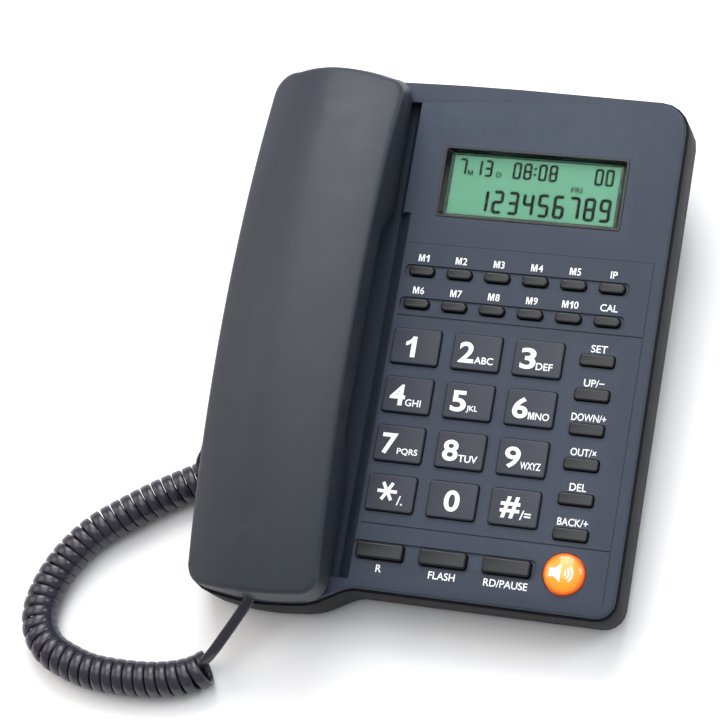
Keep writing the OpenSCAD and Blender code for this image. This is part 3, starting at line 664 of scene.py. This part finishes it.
def ringSolid(name, rings):
    count = len(rings[0])
    points = [p for ring in rings for p in ring]
    faces = []
    for i in range(len(rings) - 1):
        for k in range(count):
            a, b = i * count + k, i * count + (k + 1) % count
            faces.append((a, b, b + count, a + count))
    piece = meshPiece(name, points, faces)
    outward(piece, 0.01)
    return piece


def makeHandset():
    outline = handOutline()

    def seam(x, y):
        return crownHeight(y) - hand["seam"]

    def gap(x, y):
        return seam(x, y) - hand["seamGap"]

    def under(x, y):
        return min(underHeight(y), gap(x, y) - hand["lip"])

    # the outer shell: from the underside's middle out to the seam, up the wall and over the crown
    rings = [handRing(outline, 1.2, s, seam) for s in (1, 0.6, 0.25, 0)]
    rings.append(handRing(outline, 0.12, 0, lambda x, y: seam(x, y) + 0.02))
    rings.append(handRing(outline, 0, 0, lambda x, y: seam(x, y) + 0.16))
    crease, wall = hand["crease"], hand["wallSteps"]
    for k in range(1, wall + 1):
        share = k / wall
        rings.append(handRing(outline, 0, 0, lambda x, y, share=share: seam(x, y) + 0.16
                              + (topHeight(x, y) - crease - seam(x, y) - 0.16) * share))
    for k in range(1, 7):
        a = math.pi / 2 * k / 6 * 0.86
        rings.append(handRing(outline, crease * (1 - math.cos(a)), 0,
                              lambda x, y, a=a: topHeight(x, y) - crease * (1 - math.sin(a))))
    for share in (0.03, 0.08, 0.15, 0.24, 0.35, 0.48, 0.62, 0.76, 0.89, 1):
        rings.append(handRing(outline, crease * 0.8, share, topHeight))
    outer = ringSolid("handsetOuterShell", rings)
    edit(outer)
    for end in (hand["front"] + hand["halfWidth"], hand["rear"] - hand["halfWidth"]):
        choose(outer, "verts", lambda v, end=end: v.co.z > 21 * mm
               and math.hypot(v.co.x - hand["middle"] * mm, v.co.y - end * mm) < 8 * mm)
        bpy.ops.mesh.vertices_smooth(factor=0.5, repeat=4)
    leaveEdit()
    finishMesh(settle(outer), 50)
    dress(outer, handsetPlastic, "handset", ["handset_outer_shell"])

    # the inner shell, with its cups
    rings = [handRing(outline, 1.3, s, gap) for s in (1, 0.6, 0.25, 0)]
    rings.append(handRing(outline, 0.25, 0, gap))
    for share in (0.02, 0.25, 0.5, 0.75, 0.92):
        rings.append(handRing(outline, 0.15 + 0.5 * share, 0, lambda x, y, share=share: gap(x, y)
                              + (under(x, y) + 1.4 - gap(x, y)) * share))
    for k in range(1, 6):
        a = math.pi / 2 * k / 5
        rings.append(handRing(outline, 0.65 + 1.4 * (1 - math.cos(a)), 0,
                              lambda x, y, a=a: under(x, y) + 1.4 * (1 - math.sin(a))))
    for share in (0.1, 0.3, 0.6, 0.85, 1):
        rings.append(handRing(outline, 2.05, share, under))
    inner = ringSolid("handsetInnerShell", rings)
    pieces = [inner]
    for label, (low, high) in hand["cups"].items():
        wide = 23.4 if label == "mouth" else 24.6
        cup = blockPiece(label + "Cup", (hand["middle"] - wide, low, -5.5),
                         (hand["middle"] + wide, high, 6))
        edit(cup)
        choose(cup, "edges", lambda e: abs((e.verts[0].co - e.verts[1].co).z) > 5 * mm)
        bpy.ops.mesh.bevel(offset=9 * mm, segments=10, affect="EDGES")
        choose(cup, "verts", lambda v: v.co.z < -5 * mm)
        bpy.ops.transform.resize(value=(0.95, 0.93, 1),
                                 center_override=(hand["middle"] * mm, (low + high) / 2 * mm, 0))
        choose(cup, "faces", lambda f: f.normal.z < -0.9)
        bpy.ops.mesh.region_to_loop()
        bpy.ops.mesh.bevel(offset=1.6 * mm, segments=5, affect="EDGES")
        leaveEdit()
        centre = (hand["middle"], 68 if label == "ear" else -80)
        places = [centre]
        if label == "ear":
            for k in range(6):
                angle = math.pi * k / 3
                places.append((centre[0] + 4.2 * math.cos(angle), centre[1] + 4.2 * math.sin(angle)))
        holes = []
        for x, y in places:
            bpy.ops.object.select_all(action="DESELECT")
            bpy.ops.mesh.primitive_cylinder_add(vertices=28, radius=1.1 * mm, depth=8 * mm,
                                                location=(x * mm, y * mm, -5.5 * mm))
            holes.append(bpy.context.object)
        cut(cup, joined("holes", holes))
        pieces.append(cup)
    inner = joined("handsetInnerShell", pieces)
    finishMesh(settle(inner), 40)
    dress(inner, handsetPlastic, "handset", ["handset_inner_shell"])


makeHandset()
print("handset made")

# housing
housing = {"grooves": (6.0, -73.8), "from": -16.9, "to": 76.6, "width": 0.5, "depth": 0.45, "faint": 34.4}


def makeHousing():
    upper = cadCopy("upper_case", "upperCase")
    cutters = []
    for y in housing["grooves"]:
        cutters.append(blockPiece("groove", (housing["from"], y - housing["width"] / 2, -housing["depth"]),
                                  (housing["to"], y + housing["width"] / 2, 1)))
    cutters.append(blockPiece("groove", (housing["from"], housing["faint"] - 0.12, -0.12),
                              (housing["to"], housing["faint"] + 0.12, 1)))
    cutters.append(blockPiece("groove", (76.75, -93, -0.3), (77.15, housing["faint"], 1)))
    for cutter in cutters:
        cut(upper, cutter)
    edit(upper)
    choose(upper, "edges", lambda e: all(v.co.z > -0.02 * mm and (abs(v.co.x) > 79.2 * mm or v.co.y > 95 * mm
                                         or v.co.y < -94.5 * mm) for v in e.verts)
           and not e.is_boundary and e.calc_face_angle(0) > 0.5)
    bpy.ops.mesh.bevel(offset=0.8 * mm, segments=4, affect="EDGES", clamp_overlap=True)
    choose(upper, "edges", lambda e: all(v.co.z > -0.02 * mm and -24 * mm < v.co.x < -17.6 * mm
                                         for v in e.verts)
           and (e.verts[0].co - e.verts[1].co).length > 12 * mm and e.calc_face_angle(0) > 0.5)
    bpy.ops.mesh.bevel(offset=0.75 * mm, segments=5, affect="EDGES", clamp_overlap=True)
    leaveEdit()
    # choose the walls of the key holes and slots, which get the near-black case plastic below as painted
    # shade for the dark recesses around the keys
    edit(upper)
    choose(upper, "faces", lambda f: abs(f.normal.z) < 0.3 and -17.4 * mm < f.calc_center_median().x < 78 * mm
           and -93 * mm < f.calc_center_median().y < 42 * mm and f.calc_center_median().z < -0.4 * mm)
    leaveEdit()
    finishMesh(settle(upper), 30)
    dress(upper, facePlastic, "base", ["upper_case"])
    # the near-black second finish on the chosen hole walls is painted shade, not the face's own colour
    upper.data.materials.append(casePlastic)
    edit(upper)
    upper.active_material_index = 1
    bpy.ops.object.material_slot_assign()
    leaveEdit()

    lower = cadCopy("lower_case", "lowerCase")
    settle(lower)
    modifier = lower.modifiers.new("rim", "BEVEL")
    modifier.width = 0.5 * mm
    modifier.segments = 2
    modifier.limit_method = "ANGLE"
    modifier.angle_limit = math.radians(50)
    modifier.use_clamp_overlap = True
    pick(lower)
    bpy.ops.object.modifier_apply(modifier=modifier.name)
    finishMesh(lower, 30)
    dress(lower, casePlastic, "base", ["lower_case"])


makeHousing()
print("housing made")

# keys
keyKinds = {
    "dial": {"size": (18.3, 13.6), "corner": 1.1, "top": 1.5, "edge": 0.55},
    "memory": {"size": (9.8, 3.6), "corner": 1.7, "top": 1.3, "edge": 0.6},
    "side": {"size": (12.8, 4.4), "corner": 1.0, "top": 1.5, "edge": 0.6},
    "front": {"size": (17.8, 5.8), "corner": 1.0, "top": 1.8, "edge": 0.7},
}
keyBase = {"flangeTop": -2.7, "flangeThick": 1.0, "flangeOut": 0.85, "stemEnd": -4.2}
keyGrids = {
    # how many stand in a row, where the first one is and how far it is to the next column and row
    "dial": {"columns": 3, "first": (-7.35, -6), "step": (23.5, -18.7),
             "labels": ["1", "2", "3", "4", "5", "6", "7", "8", "9", "star", "0", "hash"]},
    "memory": {"columns": 6, "first": (-10.25, 23.4), "step": (14.6, -12.7),
               "labels": ["m1", "m2", "m3", "m4", "m5", "ip", "m6", "m7", "m8", "m9", "m10", "call"]},
    "side": {"columns": 1, "first": (61.55, -4.4), "step": (0, -13),
             "labels": ["set", "up", "down", "out", "delete", "back"]},
    "front": {"columns": 3, "first": (-7.95, -83.9), "step": (24, 0),
              "labels": ["recall", "flash", "redial"]},
}


def keyPlaces(kind):
    grid = keyGrids[kind]
    places = []
    for i, label in enumerate(grid["labels"]):
        x = grid["first"][0] + grid["step"][0] * (i % grid["columns"])
        y = grid["first"][1] + grid["step"][1] * (i // grid["columns"])
        places.append((kind + "_key_" + label, x, y))
    return places


def makeKeyKind(kind):
    wide, deep = kind["size"]
    key = blockPiece("key", (-wide / 2, -deep / 2, keyBase["flangeTop"]), (wide / 2, deep / 2, kind["top"]))
    edit(key)
    choose(key, "edges", lambda e: abs((e.verts[0].co - e.verts[1].co).z) > 1 * mm)
    bpy.ops.mesh.bevel(offset=kind["corner"] * mm, segments=7, affect="EDGES")
    choose(key, "faces", lambda f: f.normal.z > 0.9)
    bpy.ops.mesh.region_to_loop()
    bpy.ops.mesh.bevel(offset=kind["edge"] * mm, segments=5, affect="EDGES")
    choose(key, "faces", lambda f: f.normal.z < -0.9 and f.calc_center_median().z < -2 * mm)
    out = keyBase["flangeOut"] * 2
    bpy.ops.mesh.extrude_region_move()
    bpy.ops.transform.resize(value=((wide + out) / wide, (deep + out) / deep, 1))
    bpy.ops.mesh.extrude_region_move(TRANSFORM_OT_translate={"value": (0, 0, -keyBase["flangeThick"] * mm)})
    bpy.ops.mesh.inset(thickness=deep * 0.3 * mm)
    bpy.ops.transform.resize(value=(2.2 / (wide + out - deep * 0.6), 2.2 / (deep * 0.4 + out), 1))
    drop = keyBase["flangeTop"] - keyBase["flangeThick"] - keyBase["stemEnd"]
    bpy.ops.mesh.extrude_region_move(TRANSFORM_OT_translate={"value": (0, 0, -drop * mm)})
    leaveEdit()
    outward(key)
    return key


def makeKeys():
    for kind, sizes in keyKinds.items():
        pattern = makeKeyKind(sizes)
        for node, x, y in keyPlaces(kind):
            key = newObject(node.replace("_", "-"), pattern.data.copy())
            key.location = (x * mm, y * mm, 0)
            finishMesh(settle(key), 40)
            if kind == "dial":
                dress(key, dialPlastic, node, [node])
            else:
                dress(key, smallKeyPlastic, node, [node])
        bpy.data.objects.remove(pattern)


speaker = {"at": (61.45, -83.9), "radius": 7.6, "rim": 1.2, "crown": 3.2, "stem": 3, "flange": 8.45,
           "wallTop": 0.7, "round": 0.5, "pole": 0.001, "steps": 72}


def speakerHeight(x, y):
    share = min(1, math.hypot(x, y) / speaker["radius"])
    return speaker["crown"] - (speaker["crown"] - speaker["rim"]) * share ** 2


def makeSpeakerKey():
    radius, pole, soft = speaker["radius"], speaker["pole"], speaker["round"]
    top, end = keyBase["flangeTop"], keyBase["stemEnd"]
    low = top - keyBase["flangeThick"]
    profile = [(pole, end), (speaker["stem"], end), (speaker["stem"], low), (speaker["flange"], low),
               (speaker["flange"], top), (radius, top), (radius, speaker["wallTop"])]
    for a in (0.4, 0.8, 1.2):
        profile.append((radius - soft * (1 - math.cos(a)), speaker["wallTop"] + soft * math.sin(a)))
    profile += [(r, speakerHeight(r, 0)) for r in (6.9, 6, 5, 4, 3, 2, 1, pole)]
    around = [2 * math.pi * k / speaker["steps"] for k in range(speaker["steps"])]
    rings = [[(r * math.cos(a), r * math.sin(a), z) for a in around] for r, z in profile]
    key = ringSolid("speaker-key", rings)
    key.location = (speaker["at"][0] * mm, speaker["at"][1] * mm, 0)
    finishMesh(settle(key), 40)
    middle = faceToWorld @ (Vector((speaker["at"][0], speaker["at"][1], 1)) * mm)
    dress(key, orangeMaterial(middle, radius * mm), "speaker_key",
          ["speaker_key"])
    # the symbol on it: a small box and horn with three waves, each a grid laid over the dome
    columns = [(-5.2, 1.5), (-4.2, 1.5), (-3.3, 1.5), (-2.5, 2.0), (-1.6, 2.75), (-0.8, 3.4)]
    grids = [[[(x, half * (k / 4 - 1)) for k in range(9)] for x, half in columns]]
    for reach in (0.9, 2.1, 3.3):
        turns = [math.radians(-50 + 100 * k / 14) for k in range(15)]
        grids.append([[(-0.1 + r * math.cos(a), r * math.sin(a)) for a in turns]
                      for r in (reach, reach + 0.3, reach + 0.6)])
    prints = []
    for grid in grids:
        rows, wide = len(grid), len(grid[0])
        flat = [p for row in grid for p in row]
        points = [(x, y, speakerHeight(x, y) + lift) for lift in (-0.2, 0.06) for x, y in flat]
        faces = []
        for i in range(rows - 1):
            for k in range(wide - 1):
                a = i * wide + k
                faces.append((a, a + 1, a + wide + 1, a + wide))
                faces.append(tuple(reversed([v + rows * wide for v in faces[-1]])))
        rim = list(range(wide)) + [i * wide + wide - 1 for i in range(1, rows)]
        rim += [(rows - 1) * wide + k for k in range(wide - 2, -1, -1)]
        rim += [i * wide for i in range(rows - 2, 0, -1)]
        for a, b in zip(rim, rim[1:] + rim[:1]):
            faces.append((a, b, b + rows * wide, a + rows * wide))
        prints.append(meshPiece("symbol", points, faces))
    symbol = joined("speakerSymbol", prints)
    outward(symbol)
    symbol.location = (speaker["at"][0] * mm, speaker["at"][1] * mm, 0)
    finishMesh(settle(symbol), 30)
    dress(symbol, printWhite, "speaker_key")


makeKeys()
makeSpeakerKey()
print("keys made")

# printed legends
legend = {
    "letters": ["", "ABC", "DEF", "GHI", "JKL", "MNO", "PQRS", "TUV", "WXYZ", "/.", "", "/="],
    "numerals": ["1", "2", "3", "4", "5", "6", "7", "8", "9", "*", "0", "#"],
    # a numeral's size, weight, start from its key's left edge and lift, and the signs that differ
    "usual": {"tall": 8.0, "wide": 5.9, "bold": 0.27, "from": 2.6, "lift": 0},
    "differ": {"1": {"from": 5.4}, "9": {"bold": 0.2}, "0": {"from": 6.2},
               "*": {"tall": 7.6, "from": 4.0, "lift": 1.0}, "#": {"wide": 7.3, "from": 4.0, "lift": 0.2}},
    "baseline": 2.5, "smallTall": 2.7, "smallBold": 0.055, "smallGap": 0.35,
    "smallWide": {"PQRS": 7.9, "WXYZ": 7.7}, "raised": 0.04, "sunk": 0.06,
}
faceWords = {
    # each word with its spread; how tall they are and where they stand from their key's middle
    "memory": {"tall": 2.75, "shift": (0, 3.9), "words": [(word, 0.94) for word in (
        "M1", "M2", "M3", "M4", "M5", "IP", "M6", "M7", "M8", "M9", "M10", "CAL")]},
    "side": {"tall": 2.8, "shift": (0, 3.2), "words": [
        ("SET", 1.03), ("UP/−", 0.99), ("DOWN/+", 0.80), ("OUT/×", 0.85), ("DEL", 0.94),
        ("BACK/+", 0.87)]},
    "front": {"tall": 2.8, "shift": (0.5, -7.7), "words": [("R", 0.96), ("FLASH", 0.96), ("RD/PAUSE", 0.96)]},
}


drawn = {
    # the outlines of the signs that the built-in typeface draws badly when it is made bold
    "1": [(0.27, 0), (0.27, 0.68), (0.14, 0.59), (0, 0.54), (0, 0.72), (0.13, 0.79), (0.25, 0.89), (0.30, 1),
          (0.5, 1), (0.5, 0)],
    "M": [(0, 0), (0, 1), (0.27, 1), (0.46, 0.36), (0.65, 1), (0.92, 1), (0.92, 0), (0.74, 0), (0.74, 0.72),
          (0.54, 0), (0.38, 0), (0.18, 0.72), (0.18, 0)],
    "*": [(0.5 + reach * math.cos(math.radians(60 * arm + turn)),
           0.5 + reach * math.sin(math.radians(60 * arm + turn)))
          for arm in range(6) for reach, turn in ((0.5, -9.5), (0.5, 9.5), (0.165, 30))],
}


def drawnSign(sign, height):
    shape = drawn[sign]
    count = len(shape)
    points = [(x * height, y * height, z) for z in (-legend["sunk"], legend["raised"]) for x, y in shape]
    faces = [tuple(range(count))[::-1], tuple(range(count, 2 * count))]
    faces += [(k, (k + 1) % count, (k + 1) % count + count, k + count) for k in range(count)]
    item = meshPiece("sign", points, faces)
    outward(item)
    return item, max(x for x, y in shape) * height


def wordSolid(text, height, bold, spread=1.0):
    # a word, some of whose signs are drawn ones
    parts, x = [], 0
    for sign in "1M":
        text = text.replace(sign, " " + sign + " ")
    for run in text.split():
        item, wide = drawnSign(run, height) if run in drawn else textSolid(run, height, bold)
        item.location = (x * mm, 0, 0)
        parts.append(item)
        x += wide + height * 0.16
    item = applyPlace(joined("word", parts))
    item.scale = (spread, 1, 1)
    return applyPlace(item), (x - height * 0.16) * spread


def textSolid(text, height, bold, fitWidth=None):
    # printed text as a thin solid, its lower left corner at the origin
    bpy.ops.object.select_all(action="DESELECT")
    bpy.ops.object.text_add()
    item = bpy.context.object
    item.data.body = text
    item.data.size = height / 0.72 * mm
    item.data.offset = bold * mm
    item.data.extrude = (legend["raised"] + legend["sunk"]) / 2 * mm
    item.data.resolution_u = 5
    bpy.ops.object.convert(target="MESH")
    low = [min(v.co[k] for v in item.data.vertices) for k in (0, 1)]
    high = [max(v.co[k] for v in item.data.vertices) for k in (0, 1)]
    tall = height * mm / (high[1] - low[1]) if text not in ("/.", "/=") else 1.3
    wide = fitWidth * mm / (high[0] - low[0]) if fitWidth else tall
    for vertex in item.data.vertices:
        vertex.co.x = (vertex.co.x - low[0]) * wide
        vertex.co.y = (vertex.co.y - low[1]) * tall
        vertex.co.z += (legend["raised"] - legend["sunk"]) / 2 * mm
    outward(item)
    return item, (high[0] - low[0]) * wide / mm


def placeText(item, x, y, z):
    item.location = (x * mm, y * mm, z * mm)
    return applyPlace(item)


def makeLegends():
    wide, deep = keyKinds["dial"]["size"]
    top = keyKinds["dial"]["top"]
    for (node, x, y), numeral, word in zip(keyPlaces("dial"), legend["numerals"], legend["letters"]):
        look = {**legend["usual"], **legend["differ"].get(numeral, {})}
        start, bottom = x - wide / 2 + look["from"], y - deep / 2 + legend["baseline"]
        if numeral in drawn:
            item, reach = drawnSign(numeral, look["tall"])
        else:
            item, reach = textSolid(numeral, look["tall"], look["bold"], look["wide"])
        parts = [placeText(item, start, bottom + look["lift"], top)]
        if word == "MNO":
            small, _ = wordSolid(word, legend["smallTall"], legend["smallBold"], 0.93)
        elif word:
            small, _ = textSolid(word, legend["smallTall"], legend["smallBold"],
                                 legend["smallWide"].get(word))
        if word:
            parts.append(placeText(small, start + reach + legend["smallGap"], bottom, top))
        mark = joined("legend-" + node.replace("_", "-"), parts)
        finishMesh(settle(mark), 30)
        dress(mark, printWhite, node)
    parts = []
    for kind, group in faceWords.items():
        for (_, x, y), (word, spread) in zip(keyPlaces(kind), group["words"]):
            item, reach = wordSolid(word, group["tall"], 0.04, spread)
            parts.append(placeText(item, x + group["shift"][0] - reach / 2, y + group["shift"][1], 0))
    mark = joined("faceLegends", parts)
    finishMesh(settle(mark), 30)
    dress(mark, printWhite, "base")


makeLegends()
print("legends made")

# display
segments = {"0": "abcdef", "1": "bc", "2": "abged", "3": "abgcd", "4": "fgbc", "5": "afgcd", "6": "afgedc",
            "7": "abc", "8": "abcdefg", "9": "abcdfg"}
display = {
    "at": lcd["at"], "window": (66.5, 24.4), "top": lcd["top"], "halfBorder": 0.05, "clearance": 0.05,
    # what is shown, with its left edge and its size, and the words with their left edge, drop and height
    "digits": [("7", 2.9, "small"), ("13", 8.9, "small"), ("08:08", 24.2, "small"), ("00", 55.8, "small"),
               ("123456789", 12.1, "large")],
    "words": [("M", 6.7, 8.2, 2.1), ("D", 17.9, 8.2, 2.1), ("FRI", 47.6, 11.9, 2.3)],
    "small": {"top": 1.6, "pitch": 4.1, "wide": 3.3, "tall": 6.7, "thick": 0.95},
    "large": {"top": 13.2, "pitch": 5.9, "wide": 4.5, "tall": 9.3, "thick": 1.3},
}


def segmentPiece(start, end, width):
    # one six-sided bar: a circle of six points with half of it moved along
    reach = math.hypot(end[0] - start[0], end[1] - start[1])
    bpy.ops.object.select_all(action="DESELECT")
    bpy.ops.mesh.primitive_cylinder_add(vertices=6, radius=width / math.sqrt(3) * mm, depth=0.06 * mm)
    bar = bpy.context.object
    turn = Matrix.Rotation(math.radians(30), 4, "Z")
    bar.data.transform(turn)
    for vertex in bar.data.vertices:
        if vertex.co.x > 0.01 * mm:
            vertex.co.x += (reach - width) * mm / 2
        elif vertex.co.x < -0.01 * mm:
            vertex.co.x -= (reach - width) * mm / 2
    angle = math.atan2(end[1] - start[1], end[0] - start[0])
    bar.data.transform(Matrix.Rotation(angle, 4, "Z"))
    middle = Vector(((start[0] + end[0]) / 2, (start[1] + end[1]) / 2, 0))
    bar.data.transform(Matrix.Translation(middle * mm))
    return bar


def digitPattern(wide, tall, thick):
    h, w = tall / 2, wide
    ends = {"a": ((0, tall), (w, tall)), "g": ((0, h), (w, h)), "d": ((0, 0), (w, 0)),
            "f": ((0, h), (0, tall)), "b": ((w, h), (w, tall)), "e": ((0, 0), (0, h)), "c": ((w, 0), (w, h))}
    return {name: segmentPiece(a, b, thick) for name, (a, b) in ends.items()}


def stampDigits(text, left, top, pitch, wide, tall, thick):
    # digits written from left to right, their places given from the window's upper left corner
    x0 = display["at"][0] - display["window"][0] / 2
    y0 = display["at"][1] + display["window"][1] / 2
    pattern = digitPattern(wide - thick, tall - thick, thick)
    pieces = []
    x = left
    for letter in text:
        if letter == ":":
            for up in (0.3, 0.66):
                pieces.append(blockPiece("dot", (x0 + x - 0.1, y0 - top - tall * up - thick / 2, -0.03),
                                         (x0 + x - 0.1 + thick, y0 - top - tall * up + thick / 2, 0.03)))
            x += pitch * 0.42
            continue
        for name in segments[letter]:
            piece = newObject("segment", pattern[name].data.copy())
            piece.location = ((x0 + x + thick / 2) * mm, (y0 - top - tall + thick / 2) * mm, 0)
            pieces.append(piece)
        x += pitch
    for piece in pattern.values():
        bpy.data.objects.remove(piece)
    return pieces


def makeDisplayInk():
    pieces = []
    for text, left, size in display["digits"]:
        pieces += stampDigits(text, left, **display[size])
    x0 = display["at"][0] - display["window"][0] / 2
    y0 = display["at"][1] + display["window"][1] / 2
    for word, left, down, tall in display["words"]:
        item, _ = wordSolid(word, tall, 0.05, 1.1)
        pieces.append(placeText(item, x0 + left, y0 - down, 0))
    ink = applyPlace(joined("lcdDigits", pieces))
    ink.location = (0, 0, (display["top"] + 0.01) * mm)
    finishMesh(settle(ink), 30)
    dress(ink, lcdInk, "base")


def makeDisplayBorder():
    # the black border printed on the panel, which makes the lit field a little smaller than the window
    x, y = display["at"]
    right, up = display["window"][0] / 2, display["window"][1] / 2
    low, high = display["top"] - display["halfBorder"], display["top"] + display["halfBorder"]
    gap = display["clearance"]
    border = blockPiece("displayBorder", (x - right + gap, y - up + gap, low),
                        (x + right - gap, y + up - gap, high))
    field = blockPiece("field", (x - right + 1.1, y - up + 0.75, low - 1),
                       (x + right - 1.1, y + up - 0.45, high + 1))
    cut(border, field)
    finishMesh(settle(border), 30)
    dress(border, bezelPlastic, "base")


makeDisplayInk()
makeDisplayBorder()
print("display made")

# the CAD pieces that are kept
kept = {
    "display_bezel": bezelPlastic, "display_window": windowClear, "lcd_panel": lcdGreen,
    "main_board": boardGreen, "key_mat": siliconeGrey, "loudspeaker": speakerSteel, "line_jack": jackBlack,
    "handset_jack": jackBlack, "rubber_feet": footRubber, "case_screws": screwSteel,
    "battery_door": casePlastic, "batteries": jacketFoil, "hook_plunger": plungerWhite,
    "hook_switch": jackBlack, "receiver_capsule": speakerSteel, "handset_microphone": speakerSteel,
    "handset_screws": screwSteel, "handset_plug": plugClear, "base_plug": plugClear,
}
for name, material in kept.items():
    node = nodes[name]
    node.data.materials.clear()
    node.data.materials.append(material)
print("kept pieces finished")
